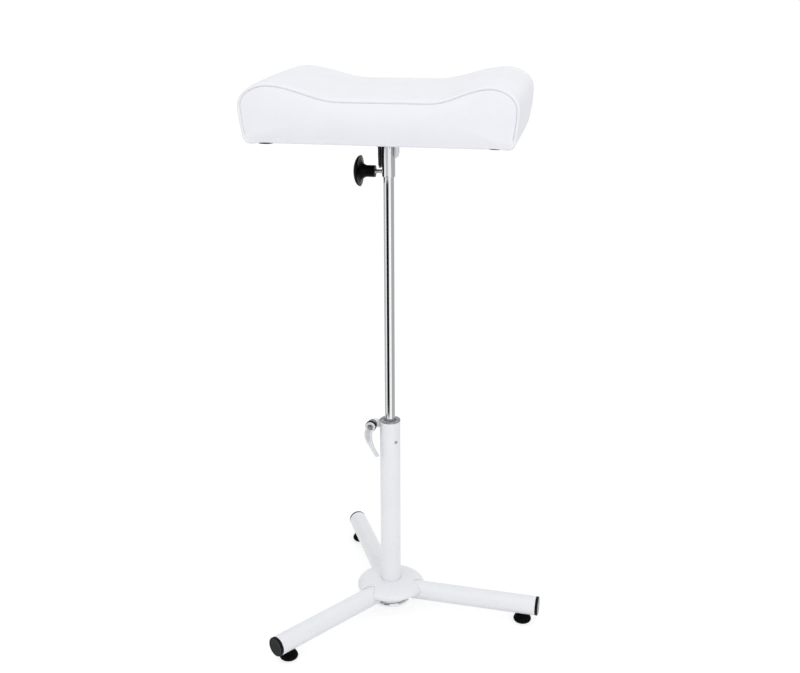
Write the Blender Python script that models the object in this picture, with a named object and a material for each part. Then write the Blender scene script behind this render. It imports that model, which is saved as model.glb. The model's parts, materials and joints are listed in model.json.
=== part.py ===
"""Pedicure footrest: a padded rest on a telescopic pole, clamped in a column on three legs.

Metres, +Z up, the floor at z = 0. At rest the pole is fully drawn out. The cushion's long
side runs along X and its low side faces -Y. The origin is under the middle of the
footprint, so the column stands a little to the left of it.
"""
import math

import bmesh
import bpy
import numpy as np
from mathutils import Matrix, Vector

# Fits
GAP = 0.0003
OVERRUN = 0.004
MERGE = GAP / 100
ROUND_FINE = 36
ROUND = 24
ROUND_SMALL = 12
SHARP_ANGLE = math.radians(35)

# Legs
LEG_NAMES = ("right", "back", "left")
FIRST_LEG_ANGLE = math.radians(-3)
LEG_RADIUS = 0.015
LEG_WALL = 0.0015
LEG_REACH = 0.2365
LEG_CAP_THICK = 0.0042
LEG_CAP_EDGE = 0.0012
LEG_CAP_PLUG_LENGTH = 0.013
LEG_CAP_PLUG_WALL = 0.002

# Glides under the legs
GLIDE_RADIUS = 0.014
GLIDE_HEIGHT = 0.0142
GLIDE_FOOT_RADIUS = 0.0105
GLIDE_TOP_RADIUS = 0.0098
GLIDE_SCREW_RADIUS = 0.003
GLIDE_SCREW_SEAT = 0.0045
GLIDE_SCREW_SPARE = 0.0015
GLIDE_NUT_RADIUS = 0.0055
GLIDE_NUT_HEIGHT = 0.010
GLIDE_NUT_INSET = 0.002

# Hub and what holds it together
HUB_RADIUS = 0.052
HUB_DOME_HEIGHT = 0.012
HUB_ROOF = 0.0024
HUB_RIM_HEIGHT = 0.0022
HUB_RIM_CHAMFER = 0.0016
HUB_BARREL_RADIUS = 0.029
HUB_SOCKET_WALL = 0.0042
HUB_FLOOR = 0.003
PLATE_MARGIN = 0.001
PLATE_THICK = 0.0032
PLATE_EDGE = 0.0010
PLATE_SCREW_INSET = 0.0055
PLATE_SCREW_RADIUS = 0.0020
PLATE_SCREW_HEAD_RADIUS = 0.0036
PLATE_SCREW_HEAD_HEIGHT = 0.0022
PLATE_SCREW_LENGTH = 0.012
BASE_BOLT_RADIUS = 0.005
BASE_BOLT_HEAD_RADIUS = 0.0098
BASE_BOLT_HEAD_HEIGHT = 0.0062
BASE_BOLT_SPARE = 0.0005

# Column
COLUMN_RADIUS = 0.016
COLUMN_WALL = 0.002
COLUMN_PLUG_HEIGHT = 0.010
BUSH_FLANGE = 0.0020
BUSH_END_LENGTH = 0.0065
BUSH_MOUTH = 0.0012
BUSH_SCREW_ANGLE = math.radians(-43)
BUSH_SCREW_DROP = 0.0335
BUSH_SCREW_RADIUS = 0.0025
BUSH_SCREW_SINK = 0.0006
BUSH_SCREW_BITE = 0.002
BUSH_SCREW_SOCKET_RADIUS = 0.0013
BUSH_SCREW_SOCKET_DEPTH = 0.0014

# Clamp at the top of the column, which is slit between two lugs
CLAMP_LUG_ANGLE = math.radians(180)
CLAMP_SCREW_TURN = math.radians(90)
CLAMP_DROP = 0.0078
CLAMP_LUG_RADIUS = 0.0055
CLAMP_LUG_THICK = 0.0035
CLAMP_SLIT_WIDTH = 0.0016
CLAMP_SLIT_DEPTH = 0.030
CLAMP_SIDE_CLEARANCE = 0.003
CLAMP_SCREW_RADIUS = 0.003
CLAMP_SCREW_SPARE = 0.0015
WASHER_THICK = 0.0022
LEVER_HUB_RADIUS = 0.008
LEVER_HUB_EDGE = 0.0010
LEVER_INSERT_RADIUS = 0.0056
LEVER_INSERT_LENGTH = 0.0049
LEVER_TOOTH_INSET = 0.0005
LEVER_TOOTH_LENGTH = 0.0012
LEVER_TOOTH_DEPTH = 0.0007
LEVER_TEETH = 12
LEVER_WEB = 0.0013
LEVER_CHAMBER_CLEARANCE = 0.0007
LEVER_LIFT = 0.0015
LEVER_SCREW_RADIUS = 0.0018
LEVER_SCREW_HEAD_RADIUS = 0.0045
LEVER_SCREW_HEAD_HEIGHT = 0.0018
LEVER_SCREW_BITE = 0.003
LEVER_SCREW_SLOT_WIDTH = 0.0010
LEVER_SCREW_SLOT_DEPTH = 0.0007
LEVER_SPRING_WIRE_RADIUS = 0.00025
LEVER_SPRING_LENGTH = 0.0020
LEVER_SPRING_TURNS = 2
LEVER_ARM_SWING = math.radians(13.5)
LEVER_ARM_LENGTH = 0.0495
LEVER_ARM_THICK_ROOT = 0.0072
LEVER_ARM_THICK_TIP = 0.0052
LEVER_ARM_WIDTH_ROOT = 0.0128
LEVER_ARM_WIDTH_WAIST = 0.0092
LEVER_ARM_WIDTH_TIP = 0.0076
LEVER_ARM_CLEARANCE = 0.0008

# Pole
POLE_RADIUS = 0.008
POLE_WALL = 0.0015
POLE_TRAVEL = 0.260
POLE_KEPT_LENGTH = 0.0329
POLE_FLOOR_CLEARANCE = 0.0019
POLE_FOOT_FLANGE = 0.0012
POLE_FOOT_LENGTH = 0.011
POLE_FOOT_INSET = 0.0003

# Sleeve that the cushion stands on
SLEEVE_WALL = 0.0015
PIVOT_HEIGHT = 0.7465
SLEEVE_PLUG_DEPTH = 0.0135
KNOB_RISE = 0.007
KNOB_EAR_CLEARANCE = 0.003
KNOB_SCREW_RADIUS = 0.003
KNOB_STEM_RADIUS = 0.0085
KNOB_STEM_START = 0.0197
KNOB_STEM_LENGTH = 0.0115
KNOB_RADIUS = 0.0224
KNOB_RIM_REACH = 0.0415
KNOB_FACE_REACH = 0.0508
KNOB_SCREW_SEAT = 0.010

# Tilt bracket under the cushion
REST_TILT = math.radians(4)
BRACKET_THICK = 0.003
BRACKET_SIDE_GAP = 0.0004
EAR_WIDTH = 0.024
EAR_CORNER = 0.005
LEFT_EAR_DROP = 0.0345
RIGHT_EAR_DROP = 0.0195
FLANGE_REACH = 0.038
FLANGE_LENGTH = 0.044
FLANGE_CORNER = 0.004
PIVOT_CLEARANCE = 0.0012
PIVOT_BOLT_RADIUS = 0.003
PIVOT_HEAD_RADIUS = 0.0055
PIVOT_HEAD_HEIGHT = 0.004
PIVOT_NUT_RADIUS = 0.0055
PIVOT_NUT_HEIGHT = 0.0055
PIVOT_BOLT_SPARE = 0.001
BRACKET_SCREW_X = 0.026
BRACKET_SCREW_Y = 0.013
BRACKET_SCREW_RADIUS = 0.0025
BRACKET_SCREW_HEAD_RADIUS = 0.0045
BRACKET_SCREW_HEAD_HEIGHT = 0.0024
TEE_NUT_RADIUS = 0.0039
TEE_NUT_FLANGE_RADIUS = 0.008
TEE_NUT_FLANGE = 0.0011

# Cushion
CUSHION_DEPTH = 0.2035
CUSHION_SETBACK = 0.0200
CUSHION_BUMP = 0.0780
CUSHION_VALLEY = 0.0575
CUSHION_BUMP_X = 0.1545
CUSHION_VALLEY_X = 0.0720
CUSHION_SIDE_X = 0.1925
CUSHION_SIDE_Z = 0.0500
CUSHION_FOOT_X = 0.1850
CUSHION_FOOT_CORNER = 0.0100
CUSHION_EDGE = 0.0055
CUSHION_TOP_CROWN = 0.0030
CUSHION_SIDE_CROWN = 0.0020
CUSHION_FACE_CROWN = 0.0040
PIPING_RADIUS = 0.0024
PIPING_START = 0.0100
BOARD_THICK = 0.010
BOARD_MARGIN = 0.0110
BOARD_CORNER = 0.015
CLOTH_THICK = 0.0008
CLOTH_MARGIN = 0.0060
CLOTH_CORNER = 0.012

# Places worked out from the sizes above
LEG_AXIS_Z = GLIDE_HEIGHT + GAP + LEG_RADIUS
LEG_BORE = LEG_RADIUS - LEG_WALL
GLIDE_REACH = LEG_REACH - LEG_CAP_PLUG_LENGTH - GLIDE_NUT_INSET - GLIDE_NUT_RADIUS
PLATE_TOP = LEG_AXIS_Z - LEG_RADIUS - GAP
PLATE_RADIUS = HUB_BARREL_RADIUS + PLATE_MARGIN
PLATE_SCREW_PITCH_RADIUS = HUB_BARREL_RADIUS - PLATE_SCREW_INSET
HUB_BOTTOM = PLATE_TOP + GAP
HUB_TOP = LEG_AXIS_Z + LEG_RADIUS + GAP + HUB_ROOF
HUB_RIM_TOP = HUB_TOP - HUB_DOME_HEIGHT
HUB_SOCKET_RADIUS = COLUMN_RADIUS + GAP
HUB_TUNNEL_START = HUB_SOCKET_RADIUS + HUB_SOCKET_WALL
COLUMN_BOTTOM = HUB_BOTTOM + HUB_FLOOR + GAP
COLUMN_BORE = COLUMN_RADIUS - COLUMN_WALL
COLUMN_PLUG_TOP = COLUMN_BOTTOM + COLUMN_PLUG_HEIGHT
POLE_LOW_END = COLUMN_PLUG_TOP + POLE_FLOOR_CLEARANCE + POLE_TRAVEL
BUSH_TOP = POLE_LOW_END + POLE_KEPT_LENGTH
BUSH_RADIUS = COLUMN_BORE - GAP
BUSH_LENGTH = BUSH_SCREW_DROP + BUSH_END_LENGTH
COLUMN_TOP = BUSH_TOP - BUSH_FLANGE - GAP
SLEEVE_BORE = POLE_RADIUS + GAP
SLEEVE_RADIUS = SLEEVE_BORE + SLEEVE_WALL
SLEEVE_PLUG_BOTTOM = PIVOT_HEIGHT - SLEEVE_PLUG_DEPTH
POLE_TOP_END = SLEEVE_PLUG_BOTTOM - GAP
CLAMP_Z = BUSH_TOP - CLAMP_DROP
KNOB_Z = PIVOT_HEIGHT - LEFT_EAR_DROP - KNOB_EAR_CLEARANCE - KNOB_SCREW_RADIUS
SLEEVE_BOTTOM = KNOB_Z - KNOB_RISE
CLAMP_AXIS_REACH = COLUMN_RADIUS + CLAMP_SIDE_CLEARANCE + LEVER_HUB_RADIUS
CLAMP_FACE = CLAMP_SLIT_WIDTH / 2 + CLAMP_LUG_THICK
WASHER_START = CLAMP_FACE + GAP
LEVER_START = WASHER_START + WASHER_THICK + GAP
LEVER_TOOTH_RADIUS = LEVER_INSERT_RADIUS - LEVER_TOOTH_INSET
LEVER_CHAMBER_RADIUS = LEVER_SCREW_HEAD_RADIUS + LEVER_CHAMBER_CLEARANCE
LEVER_CHAMBER_DEPTH = LEVER_LIFT + LEVER_SPRING_LENGTH + LEVER_SCREW_HEAD_HEIGHT + 3 * GAP
LEVER_HUB_LENGTH = LEVER_INSERT_LENGTH + GAP + LEVER_WEB + LEVER_CHAMBER_DEPTH
EAR_START = SLEEVE_RADIUS + BRACKET_SIDE_GAP
EAR_END = EAR_START + BRACKET_THICK
CLOTH_BOTTOM = SLEEVE_RADIUS + PIVOT_CLEARANCE
CUSHION_BOTTOM = CLOTH_BOTTOM + CLOTH_THICK + GAP
CUSHION_FRONT = CUSHION_SETBACK - CUSHION_DEPTH / 2


# Materials
def paint(name, colour, roughness, metallic=0.0):
    material = bpy.data.materials.new(name)
    material.use_nodes = True
    shader = material.node_tree.nodes["Principled BSDF"]
    shader.inputs["Base Color"].default_value = (*colour, 1.0)
    shader.inputs["Roughness"].default_value = roughness
    shader.inputs["Metallic"].default_value = metallic
    material.diffuse_color = (*colour, 1.0)
    return material


WHITE = ((0.80, 0.81, 0.83), 0.30)
CHROME = ((0.78, 0.79, 0.80), 0.08, 1.0)
STEEL = ((0.55, 0.56, 0.57), 0.30, 1.0)
ZINC = ((0.62, 0.64, 0.66), 0.25, 1.0)
BLACK_PLASTIC = ((0.012, 0.012, 0.014), 0.35)
BLACK_RUBBER = ((0.010, 0.010, 0.010), 0.60)
BLACK_PAINT = ((0.015, 0.015, 0.018), 0.30)
GREY_NYLON = ((0.22, 0.22, 0.23), 0.45)
LEATHER = ((0.84, 0.84, 0.85), 0.42)
PLYWOOD = ((0.50, 0.36, 0.21), 0.60)
BLACK_CLOTH = ((0.02, 0.02, 0.02), 0.90)


# Objects
def clear_scene():
    for item in list(bpy.data.objects):
        bpy.data.objects.remove(item, do_unlink=True)


def empty(name, parent=None, location=(0, 0, 0), turn_z=0.0, turn_x=0.0):
    frame = bpy.data.objects.new(name, None)
    bpy.context.collection.objects.link(frame)
    frame.parent = parent
    frame.location = location
    frame.rotation_euler = (turn_x, 0, turn_z)
    return frame


def body(name, mesh_builder, look, parent, location=(0, 0, 0), smooth=True):
    mesh = bpy.data.meshes.new(name)
    mesh_builder.to_mesh(mesh)
    mesh_builder.free()
    if smooth:
        mesh.shade_smooth()
        mesh.set_sharp_from_angle(angle=SHARP_ANGLE)
    item = bpy.data.objects.new(name, mesh)
    bpy.context.collection.objects.link(item)
    item.parent = parent
    item.location = location
    if look:
        mesh.materials.append(paint(name, *look))
    return item


def cutter(name, mesh_builder, parent, location=(0, 0, 0)):
    item = body(name, mesh_builder, None, parent, location, smooth=False)
    item.hide_render = True
    item.display_type = 'WIRE'
    return item


def combine(item, other, operation):
    step = item.modifiers.new(other.name, 'BOOLEAN')
    step.operation = operation
    step.object = other
    step.solver = 'EXACT'


def cut(item, *tools):
    for tool in tools:
        combine(item, tool, 'DIFFERENCE')


# Shapes
def lay_along_x(shape):
    bmesh.ops.rotate(shape, verts=shape.verts, matrix=Matrix.Rotation(math.pi / 2, 3, 'Y'))


def turned(profile, segments=ROUND, along_x=False):
    """A solid turned about Z from (radius, height) points; a closed ring if none is on the axis."""
    shape = bmesh.new()
    points = [shape.verts.new((radius, 0, height)) for radius, height in profile]
    edges = [shape.edges.new(pair) for pair in zip(points, points[1:])]
    if profile[0][0] > 0:
        edges.append(shape.edges.new((points[-1], points[0])))
    bmesh.ops.spin(shape, geom=points + edges, cent=(0, 0, 0), axis=(0, 0, 1),
                   angle=2 * math.pi, steps=segments, use_merge=True, use_duplicate=False)
    bmesh.ops.remove_doubles(shape, verts=shape.verts, dist=MERGE)
    bmesh.ops.recalc_face_normals(shape, faces=shape.faces)
    if along_x:
        lay_along_x(shape)
    return shape


def rod_profile(radius, low, high, edge=0.0):
    if edge == 0.0:
        return [(0, low), (radius, low), (radius, high), (0, high)]
    return [(0, low), (radius - edge, low), (radius, low + edge),
            (radius, high - edge), (radius - edge, high), (0, high)]


def rod(radius, low, high, segments=ROUND, edge=0.0, along_x=False):
    return turned(rod_profile(radius, low, high, edge), segments, along_x)


def screw_profile(radius, tip, head_radius, head_height, seat):
    """Half section of a screw that stands on its head, whose seat is at z = seat."""
    return [(0, seat - head_height), (head_radius, seat - head_height), (head_radius, seat),
            (radius, seat), (radius, tip), (0, tip)]


def ring(outer, inner, low, high, segments=ROUND, along_x=False):
    profile = [(inner, low), (outer, low), (outer, high), (inner, high)]
    return turned(profile, segments, along_x)


def prism(outline, low, high):
    """A straight solid on a closed outline of (x, y) points, from z = low to z = high."""
    shape = bmesh.new()
    base = shape.faces.new([shape.verts.new((x, y, low)) for x, y in outline])
    grown = bmesh.ops.extrude_face_region(shape, geom=[base])
    top = [part for part in grown["geom"] if isinstance(part, bmesh.types.BMVert)]
    bmesh.ops.translate(shape, verts=top, vec=(0, 0, high - low))
    bmesh.ops.recalc_face_normals(shape, faces=shape.faces)
    return shape


def polygon(radius, corners, turn=0.0):
    angles = [turn + 2 * math.pi * k / corners for k in range(corners)]
    return [(radius * math.cos(a), radius * math.sin(a)) for a in angles]


def star(outer, depth, points):
    """A toothed outline whose radius steps between outer and outer - depth."""
    outline = []
    for k in range(2 * points):
        angle = math.pi * k / points
        radius = outer if k % 2 == 0 else outer - depth
        outline.append((radius * math.cos(angle), radius * math.sin(angle)))
    return outline


def rounded_rectangle(x0, x1, y0, y1, corner, steps=3):
    outline = []
    corners = ((x1, y1, 0), (x0, y1, 1), (x0, y0, 2), (x1, y0, 3))
    for x, y, quarter in corners:
        cx = x - math.copysign(corner, x - (x0 + x1) / 2)
        cy = y - math.copysign(corner, y - (y0 + y1) / 2)
        for k in range(steps + 1):
            angle = (quarter + k / steps) * math.pi / 2
            outline.append((cx + corner * math.cos(angle), cy + corner * math.sin(angle)))
    return outline


def join(shapes):
    """One mesh from several shapes that stay separate solids."""
    whole = bmesh.new()
    for shape in shapes:
        part = bpy.data.meshes.new("part")
        shape.to_mesh(part)
        shape.free()
        whole.from_mesh(part)
        bpy.data.meshes.remove(part)
    return whole


def moved(shape, x=0.0, y=0.0, z=0.0):
    bmesh.ops.translate(shape, verts=shape.verts, vec=(x, y, z))
    return shape


def loft(rings):
    """A closed solid through rings of equal length, with flat ends."""
    shape = bmesh.new()
    rows = [[shape.verts.new(point) for point in points] for points in rings]
    for row, after in zip(rows, rows[1:]):
        count = len(row)
        for k in range(count):
            shape.faces.new((row[k], row[(k + 1) % count], after[(k + 1) % count], after[k]))
    shape.faces.new(rows[0][::-1])
    shape.faces.new(rows[-1])
    bmesh.ops.recalc_face_normals(shape, faces=shape.faces)
    return shape


def tube_along(points, radius, sides=8):
    """A round bar through a list of points, closed at both ends."""
    path = [Vector(point) for point in points]
    rings = []
    side = None
    for k, point in enumerate(path):
        ahead = path[min(k + 1, len(path) - 1)] - path[max(k - 1, 0)]
        ahead.normalize()
        if side is None:
            side = ahead.orthogonal().normalized()
        side = (side - ahead * side.dot(ahead)).normalized()
        up = ahead.cross(side)
        turns = [2 * math.pi * n / sides for n in range(sides)]
        rings.append([point + radius * (math.cos(a) * side + math.sin(a) * up) for a in turns])
    return loft(rings)


# Base
def leg_angle(index):
    return FIRST_LEG_ANGLE + index * 2 * math.pi / len(LEG_NAMES)


def between_legs(index):
    return leg_angle(index) + math.pi / len(LEG_NAMES)


def plate_screw_places():
    places = []
    for index in range(len(LEG_NAMES)):
        angle = between_legs(index)
        places.append((PLATE_SCREW_PITCH_RADIUS * math.cos(angle),
                       PLATE_SCREW_PITCH_RADIUS * math.sin(angle)))
    return places


def hub_profile():
    """Half section of the hub: a low dome over a barrel that stands on the plate."""
    rim_low = HUB_RIM_TOP - HUB_RIM_HEIGHT
    flat = HUB_SOCKET_RADIUS
    steps = 6
    points = [(0, HUB_BOTTOM), (HUB_BARREL_RADIUS, HUB_BOTTOM), (HUB_BARREL_RADIUS, rim_low),
              (HUB_RADIUS - HUB_RIM_CHAMFER, rim_low), (HUB_RADIUS, rim_low + HUB_RIM_CHAMFER)]
    for k in range(steps + 1):
        angle = math.pi / 2 * k / steps
        points.append((flat + (HUB_RADIUS - flat) * math.cos(angle),
                       HUB_RIM_TOP + HUB_DOME_HEIGHT * math.sin(angle)))
    points.append((0, HUB_TOP))
    return points


def build_hub(stand):
    hub = body("hub_casting", turned(hub_profile(), ROUND_FINE), WHITE, stand)
    for index, name in enumerate(LEG_NAMES):
        frame = empty("tunnel_axis_" + name, stand, (0, 0, LEG_AXIS_Z), leg_angle(index))
        bore = rod(LEG_RADIUS + GAP, HUB_TUNNEL_START, LEG_REACH, ROUND, along_x=True)
        cut(hub, cutter("tunnel_" + name, bore, frame))
    socket = rod(HUB_SOCKET_RADIUS, HUB_BOTTOM + HUB_FLOOR, HUB_TOP + OVERRUN, ROUND_FINE)
    bolt_hole = rod(BASE_BOLT_RADIUS + GAP, HUB_BOTTOM - OVERRUN, HUB_TOP, ROUND_SMALL)
    cut(hub, cutter("column_socket", socket, stand), cutter("hub_bolt_hole", bolt_hole, stand))
    depth = HUB_BOTTOM + PLATE_SCREW_LENGTH
    holes = [moved(rod(PLATE_SCREW_RADIUS + GAP, HUB_BOTTOM - OVERRUN, depth, ROUND_SMALL), x, y)
             for x, y in plate_screw_places()]
    cut(hub, cutter("hub_screw_holes", join(holes), stand))
    return hub


def build_plate(stand):
    """The bright plate under the hub, with its centre bolt and three screws."""
    low = PLATE_TOP - PLATE_THICK
    plate = body("base_plate", rod(PLATE_RADIUS, low, PLATE_TOP, ROUND_FINE, PLATE_EDGE),
                 CHROME, stand)
    holes = [rod(BASE_BOLT_RADIUS + GAP, low - OVERRUN, PLATE_TOP + OVERRUN, ROUND_SMALL)]
    head_top = low - GAP
    tip = HUB_BOTTOM + PLATE_SCREW_LENGTH - GAP
    for index, (x, y) in enumerate(plate_screw_places()):
        hole = rod(PLATE_SCREW_RADIUS + GAP, low - OVERRUN, PLATE_TOP + OVERRUN, ROUND_SMALL)
        holes.append(moved(hole, x, y))
        profile = screw_profile(PLATE_SCREW_RADIUS, tip, PLATE_SCREW_HEAD_RADIUS,
                                PLATE_SCREW_HEAD_HEIGHT, head_top)
        body(f"plate_screw_{index + 1}", turned(profile, ROUND_SMALL), STEEL, stand, (x, y, 0))
    cut(plate, cutter("plate_holes", join(holes), stand))
    build_base_bolt(stand, head_top)


def build_base_bolt(stand, head_top):
    head_low = head_top - BASE_BOLT_HEAD_HEIGHT
    head = prism(polygon(BASE_BOLT_HEAD_RADIUS, 6), head_low, head_top)
    shank_top = COLUMN_PLUG_TOP - BASE_BOLT_SPARE
    bolt = body("base_bolt", head, ZINC, stand, smooth=False)
    shank = rod(BASE_BOLT_RADIUS, head_top - BASE_BOLT_HEAD_HEIGHT / 2, shank_top, ROUND_SMALL)
    combine(bolt, cutter("base_bolt_shank", shank, stand), 'UNION')


def build_leg(stand, index, name):
    """One leg tube along its own X axis, with its end cap and the nut for its glide."""
    frame = empty("leg_axis_" + name, stand, (0, 0, LEG_AXIS_Z), leg_angle(index))
    start = HUB_TUNNEL_START + GAP
    tube = body("leg_tube_" + name, ring(LEG_RADIUS, LEG_BORE, start, LEG_REACH, along_x=True),
                WHITE, frame)
    nut_low = -LEG_RADIUS
    hole = rod(GLIDE_NUT_RADIUS + GAP, nut_low - OVERRUN, 0, ROUND_SMALL)
    cut(tube, cutter("leg_hole_" + name, hole, frame, (GLIDE_REACH, 0, 0)))
    nut = ring(GLIDE_NUT_RADIUS, GLIDE_SCREW_RADIUS + GAP, nut_low, nut_low + GLIDE_NUT_HEIGHT,
               ROUND_SMALL)
    body("glide_nut_" + name, nut, ZINC, frame, (GLIDE_REACH, 0, 0))
    build_leg_cap(frame, name)


def build_leg_cap(frame, name):
    face = LEG_REACH + GAP
    plug = LEG_BORE - GAP
    far = face + LEG_CAP_THICK
    profile = [(0, face), (plug - LEG_CAP_PLUG_WALL, face),
               (plug - LEG_CAP_PLUG_WALL, face - LEG_CAP_PLUG_LENGTH),
               (plug, face - LEG_CAP_PLUG_LENGTH), (plug, face), (LEG_RADIUS, face),
               (LEG_RADIUS, far - LEG_CAP_EDGE), (LEG_RADIUS - LEG_CAP_EDGE, far), (0, far)]
    body("leg_cap_" + name, turned(profile, along_x=True), BLACK_PLASTIC, frame)


def glide_profile():
    """Half section of a glide: a flat foot, a full round side and a flat top."""
    points = [(0, 0), (GLIDE_FOOT_RADIUS, 0)]
    waist = GLIDE_HEIGHT / 2
    steps = 6
    for k in range(1, steps):
        angle = math.pi * (k / steps - 1 / 2)
        narrow = GLIDE_FOOT_RADIUS if k < steps / 2 else GLIDE_TOP_RADIUS
        points.append((narrow + (GLIDE_RADIUS - narrow) * math.cos(angle),
                       waist + waist * math.sin(angle)))
    points += [(GLIDE_TOP_RADIUS, GLIDE_HEIGHT), (0, GLIDE_HEIGHT)]
    return points


def build_glide(stand, index, name):
    angle = leg_angle(index)
    place = (GLIDE_REACH * math.cos(angle), GLIDE_REACH * math.sin(angle), 0)
    axis = empty("glide_axis_" + name, stand, place)
    pad = body("glide_pad_" + name, turned(glide_profile()), BLACK_RUBBER, axis)
    well = rod(GLIDE_SCREW_RADIUS + GAP, GLIDE_SCREW_SEAT - GAP, GLIDE_HEIGHT + OVERRUN,
               ROUND_SMALL)
    cut(pad, cutter("glide_well_" + name, well, axis))
    top = LEG_AXIS_Z - LEG_RADIUS + GLIDE_NUT_HEIGHT + GLIDE_SCREW_SPARE
    body("glide_screw_" + name, rod(GLIDE_SCREW_RADIUS, GLIDE_SCREW_SEAT, top, ROUND_SMALL),
         ZINC, axis)


def build_legs(stand):
    for index, name in enumerate(LEG_NAMES):
        build_leg(stand, index, name)
        build_glide(stand, index, name)


# Column
def slit(lug_axis, name, low, high):
    """The cut between the lugs, through the wall on their side only."""
    half = CLAMP_SLIT_WIDTH / 2
    reach = COLUMN_RADIUS + OVERRUN
    outline = [(0, -half), (reach, -half), (reach, half), (0, half)]
    return cutter(name, prism(outline, low - CLAMP_Z, high - CLAMP_Z), lug_axis)


def build_column(stand, lug_axis, screw_axis):
    tube = body("column_tube", ring(COLUMN_RADIUS, COLUMN_BORE, COLUMN_BOTTOM, COLUMN_TOP,
                                    ROUND_FINE), WHITE, stand)
    screw_hole = rod(BUSH_SCREW_RADIUS + GAP, 0, COLUMN_RADIUS + OVERRUN, ROUND_SMALL,
                     along_x=True)
    cut(tube, cutter("screw_hole", screw_hole, screw_axis),
        slit(lug_axis, "column_slit", COLUMN_TOP - CLAMP_SLIT_DEPTH, COLUMN_TOP + OVERRUN))
    plug = ring(BUSH_RADIUS, BASE_BOLT_RADIUS + GAP, COLUMN_BOTTOM, COLUMN_PLUG_TOP)
    body("column_plug", plug, STEEL, stand)
    build_bush(stand, lug_axis, screw_axis)


def build_bush(stand, lug_axis, screw_axis):
    low = BUSH_TOP - BUSH_LENGTH
    bore = POLE_RADIUS + GAP
    under = COLUMN_TOP + GAP
    profile = [(bore, low), (BUSH_RADIUS, low), (BUSH_RADIUS, under), (COLUMN_RADIUS, under),
               (COLUMN_RADIUS, BUSH_TOP), (bore + BUSH_MOUTH, BUSH_TOP),
               (bore, BUSH_TOP - BUSH_MOUTH)]
    bush = body("guide_bush", turned(profile, ROUND_FINE), GREY_NYLON, stand)
    tip = BUSH_RADIUS - BUSH_SCREW_BITE
    bite = rod(BUSH_SCREW_RADIUS + GAP, tip - GAP, COLUMN_RADIUS, ROUND_SMALL, along_x=True)
    cut(bush, slit(lug_axis, "bush_slit", low - OVERRUN, BUSH_TOP + OVERRUN),
        cutter("bush_bite", bite, screw_axis))
    head = COLUMN_RADIUS - BUSH_SCREW_SINK
    screw = body("bush_screw", rod(BUSH_SCREW_RADIUS, tip, head, ROUND_SMALL, along_x=True),
                 ZINC, screw_axis)
    socket = prism(polygon(BUSH_SCREW_SOCKET_RADIUS, 6), head - BUSH_SCREW_SOCKET_DEPTH,
                   head + OVERRUN)
    lay_along_x(socket)
    cut(screw, cutter("bush_screw_socket", socket, screw_axis))


# Clamp and its lever
def lug_outline():
    """Round about the screw, with straight sides that run into the column."""
    inward = CLAMP_AXIS_REACH - COLUMN_BORE
    steps = ROUND // 2
    points = [(CLAMP_LUG_RADIUS, inward), (-CLAMP_LUG_RADIUS, inward)]
    for k in range(steps + 1):
        angle = math.pi * k / steps
        points.append((-CLAMP_LUG_RADIUS * math.cos(angle), -CLAMP_LUG_RADIUS * math.sin(angle)))
    return points


def build_clamp(lug_axis, clamp_axis):
    saddle = cutter("lug_saddle", rod(COLUMN_RADIUS + GAP, -COLUMN_RADIUS, COLUMN_RADIUS,
                                      ROUND_FINE), lug_axis)
    bore = rod(CLAMP_SCREW_RADIUS + GAP, -CLAMP_FACE - OVERRUN, CLAMP_FACE + OVERRUN,
               ROUND_SMALL, along_x=True)
    bore = cutter("lug_bore", bore, clamp_axis)
    near = CLAMP_SLIT_WIDTH / 2
    for name, low, high in (("front", near, CLAMP_FACE), ("back", -CLAMP_FACE, -near)):
        plate = prism(lug_outline(), low, high)
        lay_along_x(plate)
        cut(body("clamp_lug_" + name, plate, WHITE, clamp_axis), saddle, bore)
    body("lever_washer", ring(LEVER_HUB_RADIUS, CLAMP_SCREW_RADIUS + GAP, WASHER_START,
                              WASHER_START + WASHER_THICK, ROUND, along_x=True),
         BLACK_RUBBER, clamp_axis)
    build_clamp_screw(clamp_axis, -CLAMP_FACE - CLAMP_SCREW_SPARE)


def build_clamp_screw(clamp_axis, tip):
    """The steel insert: a threaded stud with a toothed head, and the small screw in its end."""
    tooth_start = LEVER_START + LEVER_INSERT_LENGTH - LEVER_TOOTH_LENGTH
    end = LEVER_START + LEVER_INSERT_LENGTH
    profile = [(0, tip), (CLAMP_SCREW_RADIUS, tip), (CLAMP_SCREW_RADIUS, LEVER_START),
               (LEVER_INSERT_RADIUS, LEVER_START), (LEVER_INSERT_RADIUS, tooth_start),
               (0, tooth_start)]
    stud = body("clamp_screw", turned(profile, ROUND_SMALL, along_x=True), STEEL, clamp_axis)
    crown = prism(star(LEVER_TOOTH_RADIUS, LEVER_TOOTH_DEPTH, LEVER_TEETH),
                  tooth_start - LEVER_TOOTH_LENGTH, end)
    lay_along_x(crown)
    combine(stud, cutter("insert_crown", crown, clamp_axis), 'UNION')
    bite = end - LEVER_SCREW_BITE
    hole = rod(LEVER_SCREW_RADIUS + GAP, bite - GAP, end + OVERRUN, ROUND_SMALL, along_x=True)
    cut(stud, cutter("insert_hole", hole, clamp_axis))
    build_lever_screw(clamp_axis, bite)


def lever_face():
    return LEVER_START + LEVER_HUB_LENGTH


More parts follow.
